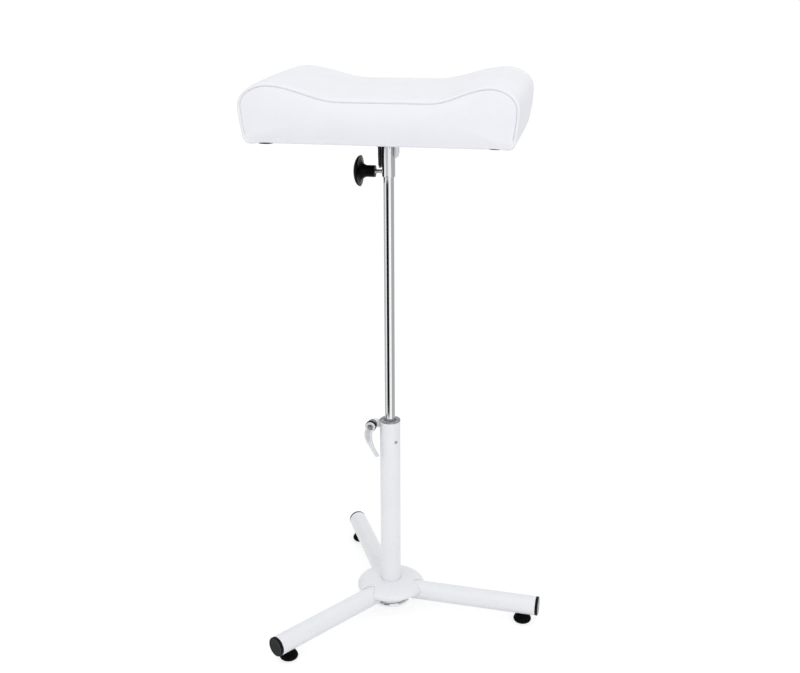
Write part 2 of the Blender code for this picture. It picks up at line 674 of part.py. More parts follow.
def build_lever_screw(clamp_axis, bite):
    head_end = lever_face() - GAP
    head_start = head_end - LEVER_SCREW_HEAD_HEIGHT
    profile = [(0, bite), (LEVER_SCREW_RADIUS, bite), (LEVER_SCREW_RADIUS, head_start),
               (LEVER_SCREW_HEAD_RADIUS, head_start), (LEVER_SCREW_HEAD_RADIUS, head_end),
               (0, head_end)]
    screw = body("lever_screw", turned(profile, ROUND_SMALL, along_x=True), STEEL, clamp_axis)
    half = LEVER_SCREW_SLOT_WIDTH / 2
    reach = LEVER_SCREW_HEAD_RADIUS + OVERRUN
    slot = prism([(-half, -reach), (half, -reach), (half, reach), (-half, reach)],
                 head_end - LEVER_SCREW_SLOT_DEPTH, head_end + OVERRUN)
    lay_along_x(slot)
    cut(screw, cutter("lever_screw_slot", slot, clamp_axis))
    build_lever_spring(clamp_axis, head_start - GAP)


def build_lever_spring(clamp_axis, end):
    """The return spring under the small screw's head, at its length with the handle lifted."""
    wire = LEVER_SPRING_WIRE_RADIUS
    start = end - LEVER_SPRING_LENGTH
    coil = (LEVER_CHAMBER_RADIUS + LEVER_SCREW_RADIUS) / 2
    steps = LEVER_SPRING_TURNS * ROUND_SMALL
    points = []
    for k in range(steps + 1):
        angle = 2 * math.pi * LEVER_SPRING_TURNS * k / steps
        along = start + wire + (end - start - 2 * wire) * k / steps
        points.append((along, coil * math.cos(angle), coil * math.sin(angle)))
    body("lever_spring", tube_along(points, wire, 5), STEEL, clamp_axis)


def lever_arm():
    """The arm as rings from the hub to the tip, with chamfered corners; it clears the column."""
    root, waist, tip = LEVER_ARM_WIDTH_ROOT, LEVER_ARM_WIDTH_WAIST, LEVER_ARM_WIDTH_TIP
    deep, thin = LEVER_ARM_THICK_ROOT, LEVER_ARM_THICK_TIP
    widths = (root, root, waist, waist, tip, tip, tip)
    thicks = (deep, deep, deep, thin, thin, thin, thin)
    along_shares = (0.0, 0.14, 0.34, 0.60, 0.86, 0.96, 1.0)
    rise_shares = (0.0, 0.3, 1.0, 1.0, 1.0, 1.0, 1.0)
    size_shares = (1.0, 1.0, 1.0, 1.0, 1.0, 0.9, 0.6)
    middle = lever_face() - LEVER_ARM_THICK_ROOT / 2 - LEVER_HUB_EDGE / 2
    rise = COLUMN_RADIUS + LEVER_ARM_CLEARANCE + LEVER_ARM_THICK_ROOT / 2 - middle
    down = Vector((0, math.sin(LEVER_ARM_SWING), -math.cos(LEVER_ARM_SWING)))
    across = Vector((0, math.cos(LEVER_ARM_SWING), math.sin(LEVER_ARM_SWING)))
    rings = []
    for width, thick, along, out, size in zip(widths, thicks, along_shares, rise_shares,
                                              size_shares):
        centre = Vector((middle + rise * out, 0, 0)) + down * LEVER_ARM_LENGTH * along
        rings.append(chamfered_ring(centre, across * width * size, Vector((thick * size, 0, 0))))
    return loft(rings)


def chamfered_ring(centre, width, thick):
    """Eight points round a rectangle with cut corners."""
    chamfer_share = 0.28
    inner = 1 / 2 - chamfer_share
    corners = ((1 / 2, inner), (inner, 1 / 2), (-inner, 1 / 2), (-1 / 2, inner),
               (-1 / 2, -inner), (-inner, -1 / 2), (inner, -1 / 2), (1 / 2, -inner))
    return [centre + a * width + b * thick for a, b in corners]


def build_lever(clamp_axis):
    handle = body("lever_handle", rod(LEVER_HUB_RADIUS, LEVER_START, lever_face(), ROUND,
                                      LEVER_HUB_EDGE, along_x=True), CHROME, clamp_axis)
    combine(handle, cutter("lever_arm", lever_arm(), clamp_axis), 'UNION')
    tooth_start = LEVER_START + LEVER_INSERT_LENGTH - LEVER_TOOTH_LENGTH
    web_start = LEVER_START + LEVER_INSERT_LENGTH + GAP
    web_end = web_start + LEVER_WEB
    well = rod(LEVER_INSERT_RADIUS + GAP, LEVER_START - OVERRUN, tooth_start, ROUND_SMALL,
               along_x=True)
    teeth = prism(star(LEVER_TOOTH_RADIUS + GAP, LEVER_TOOTH_DEPTH, LEVER_TEETH),
                  tooth_start - GAP, web_start)
    lay_along_x(teeth)
    hole = rod(LEVER_SCREW_RADIUS + GAP, LEVER_START, lever_face(), ROUND_SMALL, along_x=True)
    chamber = rod(LEVER_CHAMBER_RADIUS, web_end, lever_face() + OVERRUN, ROUND_SMALL, along_x=True)
    cut(handle, cutter("lever_well", well, clamp_axis), cutter("lever_teeth", teeth, clamp_axis),
        cutter("lever_hole", hole, clamp_axis), cutter("lever_chamber", chamber, clamp_axis))


# Pole
def build_pole(pole_axis):
    low = POLE_LOW_END + POLE_FOOT_FLANGE + GAP
    bore = POLE_RADIUS - POLE_WALL
    body("pole_tube", ring(POLE_RADIUS, bore, low, POLE_TOP_END), CHROME, pole_axis)
    flange = POLE_RADIUS - POLE_FOOT_INSET
    profile = [(0, POLE_LOW_END), (flange, POLE_LOW_END),
               (flange, POLE_LOW_END + POLE_FOOT_FLANGE),
               (bore - GAP, POLE_LOW_END + POLE_FOOT_FLANGE),
               (bore - GAP, POLE_LOW_END + POLE_FOOT_LENGTH), (0, POLE_LOW_END + POLE_FOOT_LENGTH)]
    body("pole_foot", turned(profile), BLACK_PLASTIC, pole_axis)


# Sleeve, knob and pivot
def dome_tool(reach, bottom):
    """What is kept of the sleeve: its lower part, and its top rounded about the pivot."""
    box = prism(polygon(2 * reach, 4), bottom - OVERRUN, PIVOT_HEIGHT)
    return box, moved(rod(SLEEVE_RADIUS, -reach, reach, along_x=True), z=PIVOT_HEIGHT)


def build_sleeve(swivel_axis):
    top = PIVOT_HEIGHT + SLEEVE_RADIUS
    reach = SLEEVE_RADIUS + OVERRUN
    tube = body("sleeve_tube", ring(SLEEVE_RADIUS, SLEEVE_BORE, SLEEVE_BOTTOM, top), CHROME,
                swivel_axis)
    plug = body("sleeve_plug", rod(POLE_RADIUS, SLEEVE_PLUG_BOTTOM, top), STEEL, swivel_axis)
    box, barrel = dome_tool(reach, SLEEVE_BOTTOM)
    keep = cutter("sleeve_keep", box, swivel_axis)
    combine(keep, cutter("sleeve_round", barrel, swivel_axis), 'UNION')
    hole = moved(rod(PIVOT_BOLT_RADIUS + GAP, -reach, reach, ROUND_SMALL, along_x=True),
                 z=PIVOT_HEIGHT)
    hole_tool = cutter("pivot_hole", hole, swivel_axis)
    for item in (tube, plug):
        combine(item, keep, 'INTERSECT')
        cut(item, hole_tool)
    screw_hole = rod(KNOB_SCREW_RADIUS + GAP, 0, reach, ROUND_SMALL, along_x=True)
    lay = moved(screw_hole, z=KNOB_Z)
    bmesh.ops.rotate(lay, verts=lay.verts, matrix=Matrix.Rotation(math.pi, 3, 'Z'))
    cut(tube, cutter("knob_hole", lay, swivel_axis))


def build_pivot(swivel_axis):
    """The bolt that the cushion tilts on: head on the right, nut on the left."""
    seat = EAR_END + GAP
    nut_end = seat + PIVOT_NUT_HEIGHT
    head = prism(polygon(PIVOT_HEAD_RADIUS, 6), seat, seat + PIVOT_HEAD_HEIGHT)
    lay_along_x(head)
    bolt = body("pivot_bolt", moved(head, z=PIVOT_HEIGHT), ZINC, swivel_axis, smooth=False)
    shank = rod(PIVOT_BOLT_RADIUS, -nut_end - PIVOT_BOLT_SPARE, seat + PIVOT_HEAD_HEIGHT / 2,
                ROUND_SMALL, along_x=True)
    combine(bolt, cutter("pivot_shank", moved(shank, z=PIVOT_HEIGHT), swivel_axis), 'UNION')
    nut = prism(polygon(PIVOT_NUT_RADIUS, 6), -nut_end, -seat)
    lay_along_x(nut)
    nut_item = body("pivot_nut", moved(nut, z=PIVOT_HEIGHT), ZINC, swivel_axis, smooth=False)
    hole = rod(PIVOT_BOLT_RADIUS + GAP, -nut_end - OVERRUN, 0, ROUND_SMALL, along_x=True)
    cut(nut_item, cutter("nut_hole", moved(hole, z=PIVOT_HEIGHT), swivel_axis))


def knob_profile():
    """Half section of the mushroom knob, from its stem to the middle of its face."""
    stem_end = KNOB_STEM_START + KNOB_STEM_LENGTH
    points = [(0, KNOB_STEM_START), (KNOB_STEM_RADIUS, KNOB_STEM_START),
              (KNOB_STEM_RADIUS, stem_end)]
    steps = 4
    for k in range(1, steps):
        angle = math.pi / 2 * k / steps
        points.append((KNOB_RADIUS - (KNOB_RADIUS - KNOB_STEM_RADIUS) * math.cos(angle),
                       stem_end + (KNOB_RIM_REACH - stem_end) * math.sin(angle)))
    face_steps = 5
    for k in range(face_steps):
        angle = math.pi / 2 * k / face_steps
        points.append((KNOB_RADIUS * math.cos(angle),
                       KNOB_RIM_REACH + (KNOB_FACE_REACH - KNOB_RIM_REACH) * math.sin(angle)))
    points.append((0, KNOB_FACE_REACH))
    return points


def build_knob(knob_axis):
    tip = POLE_RADIUS + GAP
    seat = KNOB_STEM_START + KNOB_SCREW_SEAT
    body("knob_screw", rod(KNOB_SCREW_RADIUS, tip, seat, ROUND_SMALL, along_x=True), ZINC,
         knob_axis)
    head = body("knob_head", turned(knob_profile(), ROUND, along_x=True), BLACK_PLASTIC, knob_axis)
    well = rod(KNOB_SCREW_RADIUS + GAP, 0, seat + GAP, ROUND_SMALL, along_x=True)
    cut(head, cutter("knob_well", well, knob_axis))


# Cushion
def ear_outline(drop, flange_top):
    """Side view of a bracket ear: square at the flange, cut corners at its free end."""
    half = EAR_WIDTH / 2
    return [(half, flange_top), (half, -drop + EAR_CORNER), (half - EAR_CORNER, -drop),
            (-half + EAR_CORNER, -drop), (-half, -drop + EAR_CORNER), (-half, flange_top)]


def build_bracket(tilt_axis, name, side, drop, look):
    """An angle plate: a flange screwed under the board and an ear beside the sleeve."""
    top = CLOTH_BOTTOM - GAP
    low = top - BRACKET_THICK
    inner, outer = sorted((side * EAR_START, side * FLANGE_REACH))
    half = FLANGE_LENGTH / 2
    flange = prism(rounded_rectangle(inner, outer, -half, half, FLANGE_CORNER), low, top)
    bracket = body(name, flange, look, tilt_axis, smooth=False)
    near, far = sorted((side * EAR_START, side * EAR_END))
    ear = prism(ear_outline(drop, low + BRACKET_THICK / 2), near, far)
    bmesh.ops.rotate(ear, verts=ear.verts, matrix=Matrix(((0, 0, 1), (1, 0, 0), (0, 1, 0))))
    combine(bracket, cutter(name + "_ear", ear, tilt_axis), 'UNION')
    hole = rod(PIVOT_BOLT_RADIUS + GAP, near - OVERRUN, far + OVERRUN, ROUND_SMALL, along_x=True)
    screw_holes = []
    for y in (-BRACKET_SCREW_Y, BRACKET_SCREW_Y):
        drill = rod(BRACKET_SCREW_RADIUS + GAP, low - OVERRUN, top + OVERRUN, ROUND_SMALL)
        screw_holes.append(moved(drill, side * BRACKET_SCREW_X, y))
    cut(bracket, cutter(name + "_pivot_hole", hole, tilt_axis),
        cutter(name + "_screw_holes", join(screw_holes), tilt_axis))


def bracket_screw_places():
    return [(x, y) for x in (-BRACKET_SCREW_X, BRACKET_SCREW_X)
            for y in (-BRACKET_SCREW_Y, BRACKET_SCREW_Y)]


def build_bracket_screws(tilt_axis):
    seat = CLOTH_BOTTOM - GAP - BRACKET_THICK - GAP
    board_top = CUSHION_BOTTOM + BOARD_THICK
    tip = board_top - GAP
    flange_low = board_top - TEE_NUT_FLANGE - GAP
    screw = screw_profile(BRACKET_SCREW_RADIUS, tip, BRACKET_SCREW_HEAD_RADIUS,
                          BRACKET_SCREW_HEAD_HEIGHT, seat)
    bore = BRACKET_SCREW_RADIUS + GAP
    nut = [(bore, CUSHION_BOTTOM + GAP), (TEE_NUT_RADIUS, CUSHION_BOTTOM + GAP),
           (TEE_NUT_RADIUS, flange_low), (TEE_NUT_FLANGE_RADIUS, flange_low),
           (TEE_NUT_FLANGE_RADIUS, flange_low + TEE_NUT_FLANGE),
           (bore, flange_low + TEE_NUT_FLANGE)]
    for index, (x, y) in enumerate(bracket_screw_places()):
        body(f"bracket_screw_{index + 1}", turned(screw, ROUND_SMALL), ZINC, tilt_axis, (x, y, 0))
        body(f"tee_nut_{index + 1}", turned(nut, ROUND_SMALL), ZINC, tilt_axis, (x, y, 0))


def panel(margin, corner):
    """Outline of a flat panel inside the cushion's underside."""
    half = CUSHION_FOOT_X - margin
    back = CUSHION_FRONT + CUSHION_DEPTH
    return rounded_rectangle(-half, half, CUSHION_FRONT + margin, back - margin, corner)


def build_board(tilt_axis):
    low = CUSHION_BOTTOM
    top = low + BOARD_THICK
    board = body("cushion_board", prism(panel(BOARD_MARGIN, BOARD_CORNER), low, top), PLYWOOD,
                 tilt_axis, smooth=False)
    holes = []
    pockets = []
    for x, y in bracket_screw_places():
        hole = rod(TEE_NUT_RADIUS + GAP, low - OVERRUN, top + OVERRUN, ROUND_SMALL)
        holes.append(moved(hole, x, y))
        pocket = rod(TEE_NUT_FLANGE_RADIUS + GAP, top - TEE_NUT_FLANGE - 2 * GAP, top + OVERRUN,
                     ROUND_SMALL)
        pockets.append(moved(pocket, x, y))
    cut(board, cutter("board_holes", join(holes), tilt_axis),
        cutter("board_pockets", join(pockets), tilt_axis))
    cloth_top = CLOTH_BOTTOM + CLOTH_THICK
    cloth = body("bottom_cloth", prism(panel(CLOTH_MARGIN, CLOTH_CORNER), CLOTH_BOTTOM, cloth_top),
                 BLACK_CLOTH, tilt_axis, smooth=False)
    drills = [moved(rod(BRACKET_SCREW_RADIUS + GAP, CLOTH_BOTTOM - OVERRUN, cloth_top + OVERRUN,
                        ROUND_SMALL), x, y) for x, y in bracket_screw_places()]
    cut(cloth, cutter("cloth_holes", join(drills), tilt_axis))


def half_outline():
    """Right half of the cushion's end view, from the middle of its foot up to the valley."""
    points = [(0, 0), (CUSHION_FOOT_X / 2, 0)]
    corner = CUSHION_FOOT_CORNER
    steps = 4
    for k in range(steps + 1):
        angle = math.pi / 2 * (k / steps - 1)
        points.append((CUSHION_FOOT_X - corner + corner * math.cos(angle),
                       corner + corner * math.sin(angle)))
    points.append(((CUSHION_FOOT_X + CUSHION_SIDE_X) / 2, (corner + CUSHION_SIDE_Z) / 2))
    steps = 8
    for k in range(steps):
        angle = math.pi / 2 * k / steps
        points.append((CUSHION_BUMP_X + (CUSHION_SIDE_X - CUSHION_BUMP_X) * math.cos(angle),
                       CUSHION_SIDE_Z + (CUSHION_BUMP - CUSHION_SIDE_Z) * math.sin(angle)))
    steps = 9
    for k in range(steps + 1):
        rise = (1 + math.cos(math.pi * k / steps)) / 2
        points.append((CUSHION_BUMP_X - (CUSHION_BUMP_X - CUSHION_VALLEY_X) * k / steps,
                       CUSHION_VALLEY + (CUSHION_BUMP - CUSHION_VALLEY) * rise))
    points += [(CUSHION_VALLEY_X / 2, CUSHION_VALLEY), (0, CUSHION_VALLEY)]
    return points


def end_outline():
    """The whole end view of the cushion as a closed run of (x, z) points."""
    right = half_outline()
    left = [(-x, z) for x, z in right[-2:0:-1]]
    return np.array(right + left)


def drawn_in(outline, amount):
    """The outline with every point moved inward by amount, square to its neighbours."""
    ahead = np.roll(outline, -1, axis=0) - np.roll(outline, 1, axis=0)
    ahead /= np.linalg.norm(ahead, axis=1)[:, None]
    inward = np.stack([-ahead[:, 1], ahead[:, 0]], axis=1)
    return outline + amount * inward


def cushion_ring(outline, y, top_crown=0.0, side_crown=0.0):
    grow_x = 1 + side_crown / CUSHION_SIDE_X
    grow_z = 1 + top_crown / CUSHION_BUMP
    return [(x * grow_x, y, CUSHION_BOTTOM + z * grow_z) for x, z in outline]


def face_ring(outline, y, share_x, share_z):
    """A smaller copy of an end outline, for the crown of the cushion's end faces."""
    middle = CUSHION_VALLEY / 2
    return [(x * share_x, y, CUSHION_BOTTOM + middle + (z - middle) * share_z) for x, z in outline]


def cushion_rings():
    outline = end_outline()
    edge = drawn_in(outline, CUSHION_EDGE)
    back = CUSHION_FRONT + CUSHION_DEPTH
    face_shares = ((0.55, 0.30, 1.0), (0.80, 0.62, 0.8), (0.94, 0.86, 0.4))
    rings = [face_ring(edge, CUSHION_FRONT - CUSHION_FACE_CROWN * out, sx, sz)
             for sx, sz, out in face_shares]
    rings.append(cushion_ring(edge, CUSHION_FRONT))
    depth_shares = (0.0, 0.12, 0.3, 0.5, 0.7, 0.88, 1.0)
    first = CUSHION_FRONT + CUSHION_EDGE
    last = back - CUSHION_EDGE
    for share in depth_shares:
        swell = 1 - (2 * share - 1) ** 2
        rings.append(cushion_ring(outline, first + (last - first) * share,
                                  CUSHION_TOP_CROWN * swell, CUSHION_SIDE_CROWN * swell))
    rings.append(cushion_ring(edge, back))
    rings += [face_ring(edge, back + CUSHION_FACE_CROWN * out, sx, sz)
              for sx, sz, out in reversed(face_shares)]
    return rings


def build_cushion(tilt_axis):
    cushion = body("cushion", loft(cushion_rings()), LEATHER, tilt_axis)
    pocket = prism(panel(BOARD_MARGIN - GAP, BOARD_CORNER), CUSHION_BOTTOM - OVERRUN,
                   CUSHION_BOTTOM + BOARD_THICK + GAP)
    cut(cushion, cutter("board_pocket", pocket, tilt_axis))
    build_piping(tilt_axis)


def build_piping(tilt_axis):
    """The round seam cord over the sides and top of each end face."""
    inset = (CUSHION_EDGE - math.sqrt(2) * (PIPING_RADIUS + GAP)) / 2
    line = drawn_in(end_outline(), inset)
    covered = [k for k, (x, z) in enumerate(line) if z > PIPING_START]
    back = CUSHION_FRONT + CUSHION_DEPTH
    for name, y in (("piping_front", CUSHION_FRONT + inset), ("piping_back", back - inset)):
        path = [(line[k][0], y, CUSHION_BOTTOM + line[k][1]) for k in covered]
        body(name, tube_along(path, PIPING_RADIUS, 6), LEATHER, tilt_axis)


# Whole
def centre_footprint(stand):
    """Moves the stand so that the origin is under the middle of its bounding box."""
    bpy.context.view_layer.update()
    graph = bpy.context.evaluated_depsgraph_get()
    corners = []
    for item in bpy.data.objects:
        if item.type == 'MESH' and not item.hide_render:
            solid = item.evaluated_get(graph)
            corners += [tuple(item.matrix_world @ Vector(corner)) for corner in solid.bound_box]
    points = np.array(corners)
    middle = (points.min(axis=0) + points.max(axis=0)) / 2
    stand.location = (-middle[0], -middle[1], 0)
    bpy.context.view_layer.update()


def main():
    clear_scene()
    stand = empty("stand")
    lug_axis = empty("lug_axis", stand, (0, 0, CLAMP_Z), CLAMP_LUG_ANGLE)
    clamp_axis = empty("clamp_axis", lug_axis, (CLAMP_AXIS_REACH, 0, 0), CLAMP_SCREW_TURN)
    screw_axis = empty("bush_screw_axis", stand, (0, 0, BUSH_TOP - BUSH_SCREW_DROP),
                       BUSH_SCREW_ANGLE)
    build_hub(stand)
    build_plate(stand)
    build_legs(stand)
    build_column(stand, lug_axis, screw_axis)
    build_clamp(lug_axis, clamp_axis)
    build_lever(clamp_axis)
    pole_axis = empty("pole_axis", stand)
    build_pole(pole_axis)
    swivel_axis = empty("swivel_axis", pole_axis)
    build_sleeve(swivel_axis)
    build_pivot(swivel_axis)
    build_knob(empty("knob_axis", swivel_axis, (0, 0, KNOB_Z), math.pi))
    tilt_axis = empty("tilt_axis", swivel_axis, (0, 0, PIVOT_HEIGHT), turn_x=REST_TILT)
    build_bracket(tilt_axis, "bracket_left", -1, LEFT_EAR_DROP, BLACK_PAINT)
    build_bracket(tilt_axis, "bracket_right", 1, RIGHT_EAR_DROP, CHROME)
    build_bracket_screws(tilt_axis)
    build_board(tilt_axis)
    build_cushion(tilt_axis)
    centre_footprint(stand)
    print("column axis at", [round(value, 6) for value in stand.location])


main()
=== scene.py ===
"""Looks of the pedicure footrest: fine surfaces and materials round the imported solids,
with a pale floor, soft light and the camera at the photograph's angle.

Shapes are written in millimetres in the frame of the piece's own axis.
"""
import json
import math

import bmesh
import bpy
import numpy as np
from mathutils import Matrix, Vector

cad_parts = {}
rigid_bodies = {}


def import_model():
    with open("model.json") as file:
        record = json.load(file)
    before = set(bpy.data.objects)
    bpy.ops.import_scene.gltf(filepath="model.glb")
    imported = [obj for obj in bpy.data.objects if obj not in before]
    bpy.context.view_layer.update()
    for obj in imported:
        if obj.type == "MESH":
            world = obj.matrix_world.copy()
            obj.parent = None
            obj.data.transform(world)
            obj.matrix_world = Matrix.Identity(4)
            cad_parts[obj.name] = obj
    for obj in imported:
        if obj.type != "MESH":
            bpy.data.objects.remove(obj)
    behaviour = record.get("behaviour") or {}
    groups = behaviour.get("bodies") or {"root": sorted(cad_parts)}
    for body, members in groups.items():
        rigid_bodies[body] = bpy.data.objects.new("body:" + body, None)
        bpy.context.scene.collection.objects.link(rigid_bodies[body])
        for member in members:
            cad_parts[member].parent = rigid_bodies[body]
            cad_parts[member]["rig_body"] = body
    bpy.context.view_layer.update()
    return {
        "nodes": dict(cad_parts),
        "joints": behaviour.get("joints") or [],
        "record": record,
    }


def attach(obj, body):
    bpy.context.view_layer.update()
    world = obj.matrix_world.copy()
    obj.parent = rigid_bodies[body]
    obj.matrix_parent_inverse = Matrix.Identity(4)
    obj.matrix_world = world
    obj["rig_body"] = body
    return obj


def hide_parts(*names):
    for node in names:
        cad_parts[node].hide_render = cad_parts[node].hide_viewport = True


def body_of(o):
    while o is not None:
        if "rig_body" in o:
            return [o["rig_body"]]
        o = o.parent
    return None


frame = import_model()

MM = 0.001
# Segments round large, middling and small forms
FINE, ROUND, SMALL = 96, 64, 40
# Angles from which an edge is drawn sharp, and from which it is rounded off
SHARP, ROUNDED = math.radians(32), math.radians(40)
# A turned face longer than the first gets rows of points this far from its ends
LONG_RUN, SUPPORT = 4.0, 0.8

# Places in millimetres: heights of the axes over the floor
LEG_Z, BUSH_SCREW_Z, CLAMP_Z, KNOB_Z, PIVOT_Z = 29.5, 289.1, 314.8, 706.0, 746.5
# Reaches from the column's axis, and directions round it
CLAMP_REACH, GLIDE_REACH, PLATE_SCREW_REACH = 27.0, 216.0, 23.5
LEGS = {"right": -3.0, "back": 117.0, "left": 237.0}
BUSH_SCREW_ANGLE = -43.0
REST_TILT = 4.0
# Radii of the holes for the 6 mm and 5 mm screws, half the slit's width, the sleeve's radius
HOLE_6, HOLE_5, HALF_SLIT, SLEEVE_RADIUS = 3.3, 2.8, 0.8, 9.8


def turn(axis, degrees):
    return Matrix.Rotation(math.radians(degrees), 4, axis)


def shift(x, y, z=0):
    return Matrix.Translation((x * MM, y * MM, z * MM))


def around(reach, degrees):
    """A place on the floor, this far from the column's axis, that isn't turned itself."""
    a = math.radians(degrees)
    return STAND @ shift(reach * math.cos(a), reach * math.sin(a))


SWIVEL = next(j["pos_m"] for j in frame["joints"] if j["name"] == "head_swivel")
ALONG_X = turn("Y", 90)
# Stands a prism's outline up in the YZ plane, with its length along X
FACING_X = Matrix(((0, 0, 1, 0), (1, 0, 0, 0), (0, 1, 0, 0), (0, 0, 0, 1)))
STAND = Matrix.Translation((SWIVEL[0], SWIVEL[1], 0))
PLATE_SCREWS = [around(PLATE_SCREW_REACH, degrees + 60) for degrees in LEGS.values()]
LUGS = STAND @ shift(0, 0, CLAMP_Z) @ turn("Z", 180)
CLAMP = LUGS @ shift(CLAMP_REACH, 0) @ turn("Z", 90)
CLAMP_AXIS = CLAMP @ ALONG_X
BUSH_SCREW = STAND @ shift(0, 0, BUSH_SCREW_Z) @ turn("Z", BUSH_SCREW_ANGLE) @ ALONG_X
KNOB = STAND @ shift(0, 0, KNOB_Z) @ turn("Z", 180) @ ALONG_X
PIVOT = STAND @ shift(0, 0, PIVOT_Z)
PIVOT_AXIS = PIVOT @ ALONG_X
TILT = PIVOT @ turn("X", REST_TILT)


# Materials
class Look:
    """A Principled material with its node tree."""

    def __init__(self, name, colour, roughness, metallic=0.0):
        self.name = name
        self.material = bpy.data.materials.new(name)
        self.material.use_nodes = True
        self.tree = self.material.node_tree
        self.shader = self.tree.nodes["Principled BSDF"]
        self.set("Base Color", (*colour, 1.0))
        self.set("Roughness", roughness)
        self.set("Metallic", metallic)
        self.material.diffuse_color = (*colour, 1.0)
        self.place = self.node("TexCoord").outputs["Object"]

    def node(self, kind, **values):
        made = self.tree.nodes.new("ShaderNode" + kind)
        for key, value in values.items():
            if key in made.inputs:
                made.inputs[key].default_value = value
            else:
                setattr(made, key, value)
        return made

    def link(self, output, node, socket):
        self.tree.links.new(output, node.inputs[socket])

    def set(self, socket, value):
        self.shader.inputs[socket].default_value = value

    def stretched(self, scale):
        mapping = self.node("Mapping", Scale=scale)
        self.link(self.place, mapping, "Vector")
        return mapping.outputs["Vector"]

    def noise(self, scale, detail=3.0, rough=0.5, place=None):
        made = self.node("TexNoise", Scale=scale, Detail=detail, Roughness=rough)
        self.link(place or self.place, made, "Vector")
        return made.outputs["Fac"]

    def cells(self, scale, smooth=None):
        """Distance from the nearest cell's middle, with soft borders where smooth is given."""
        made = self.node("TexVoronoi", feature="SMOOTH_F1" if smooth else "F1", Scale=scale)
        if smooth:
            made.inputs["Smoothness"].default_value = smooth
        self.link(self.place, made, "Vector")
        return made.outputs["Distance"]

    def roughness(self, value, low, high):
        """Roughness from low to high, as the value goes from 0.3 to 0.7."""
        made = self.node("MapRange", **{"From Min": 0.3, "From Max": 0.7, "To Min": low,
                                        "To Max": high})
        self.link(value, made, "Value")
        self.link(made.outputs["Result"], self.shader, "Roughness")

    def tint(self, value, low, high, start=0.3, end=0.7):
        """Base colour from low to high, as the value goes from start to end."""
        ramp = self.node("ValToRGB")
        for stop, at, colour in zip(ramp.color_ramp.elements, (start, end), (low, high)):
            stop.position = at
            stop.color = (*colour, 1.0)
        self.link(value, ramp, "Fac")
        self.link(ramp.outputs["Color"], self.shader, "Base Color")

    def bump(self, *layers, soften=0.0):
        """Relief from (height, strength, depth in mm) layers, over edges that are softened
        by a radius in mm."""
        normal = None
        if soften:
            normal = self.node("Bevel", samples=4, Radius=soften * MM).outputs["Normal"]
        for height, strength, depth in layers:
            made = self.node("Bump", Strength=strength, Distance=depth * MM)
            self.link(height, made, "Height")
            if normal:
                self.link(normal, made, "Normal")
            normal = made.outputs["Normal"]
        self.link(normal, self.shader, "Normal")
        return self


def chrome(name, stretch):
    """Polished metal with hair scratches that run along the stretched direction."""
    look = Look(name, (0.80, 0.81, 0.82), 0.06, 1.0)
    hair = look.noise(1.0, 4.0, 0.6, look.stretched(stretch))
    look.roughness(hair, 0.03, 0.10)
    return look.bump((hair, 0.05, 0.01), (look.noise(60, 2.0), 0.03, 0.03))


def satin_chrome():
    """Tumbled and plated zinc casting, softer than polished chrome."""
    look = Look("satin_chrome", (0.76, 0.77, 0.79), 0.36, 0.35)
    look.roughness(look.noise(220, 3.0), 0.28, 0.40)
    return look.bump((look.noise(160, 3.0), 0.12, 0.05), (look.noise(900, 2.0), 0.08, 0.02))


def mottled(name, colour, roughness, tint, gloss, *relief, metallic=0.0, specular=0.5,
            soften=0.0):
    """A material whose colour, roughness and relief follow noises of their own: tint and
    gloss are (noise, low, high), and each relief is (noise, strength, depth in mm)."""
    look = Look(name, colour, roughness, metallic)
    look.set("Specular IOR Level", specular)
    look.tint(look.noise(*tint[0]), *tint[1:])
    look.roughness(look.noise(*gloss[0]), *gloss[1:])
    return look.bump(*((look.noise(*noise), *rest) for noise, *rest in relief), soften=soften)


def steel():
    look = Look("steel", (0.55, 0.56, 0.57), 0.32, 1.0)
    grain = look.noise(1.0, 5.0, 0.7, look.stretched((900, 900, 120)))
    look.tint(look.noise(60, 4.0), (0.48, 0.49, 0.50), (0.60, 0.61, 0.62))
    look.roughness(grain, 0.24, 0.42)
    return look.bump((grain, 0.2, 0.03))


def zinc():
    look = Look("zinc_plate", (0.62, 0.64, 0.66), 0.28, 1.0)
    spangle = look.cells(700)
    look.tint(spangle, (0.56, 0.58, 0.60), (0.68, 0.70, 0.71), 0.1, 0.7)
    look.roughness(look.noise(300, 3.0), 0.20, 0.38)
    return look.bump((spangle, 0.1, 0.03))


def black_plastic(name, dark, specular, rough=0.28):
    low, middle, high = ((dark * a, dark * a, dark * b)
                         for a, b in ((0.8, 0.95), (1, 1.15), (1.3, 1.5)))
    return mottled(name, middle, rough, ((40, 3.0), low, high),
                   ((200, 3.0), rough, rough + 0.14), ((1500, 2.0), 0.1, 0.03),
                   specular=specular, soften=0.3)


def leather(name):
    """Smooth faux leather with a fine pebble grain."""
    low, high = (0.840, 0.844, 0.872), (0.864, 0.867, 0.893)
    look = Look(name, high, 0.42)
    pebble = look.cells(950, 0.8)
    pores = look.noise(2600, 2.0)
    look.tint(look.noise(22, 4.0, 0.6), low, high)
    look.roughness(look.noise(160, 3.0), 0.36, 0.5)
    look.set("Sheen Weight", 0.05)
    return look.bump((look.noise(35, 3.0), 0.10, 0.6), (pebble, 0.35, 0.12), (pores, 0.1, 0.03))


def plywood():
    look = Look("plywood", (0.50, 0.36, 0.21), 0.6)
    grain = look.noise(1.0, 6.0, 0.65, look.stretched((8, 160, 160)))
    look.tint(grain, (0.38, 0.25, 0.13), (0.58, 0.43, 0.26))
    return look.bump((grain, 0.3, 0.15))


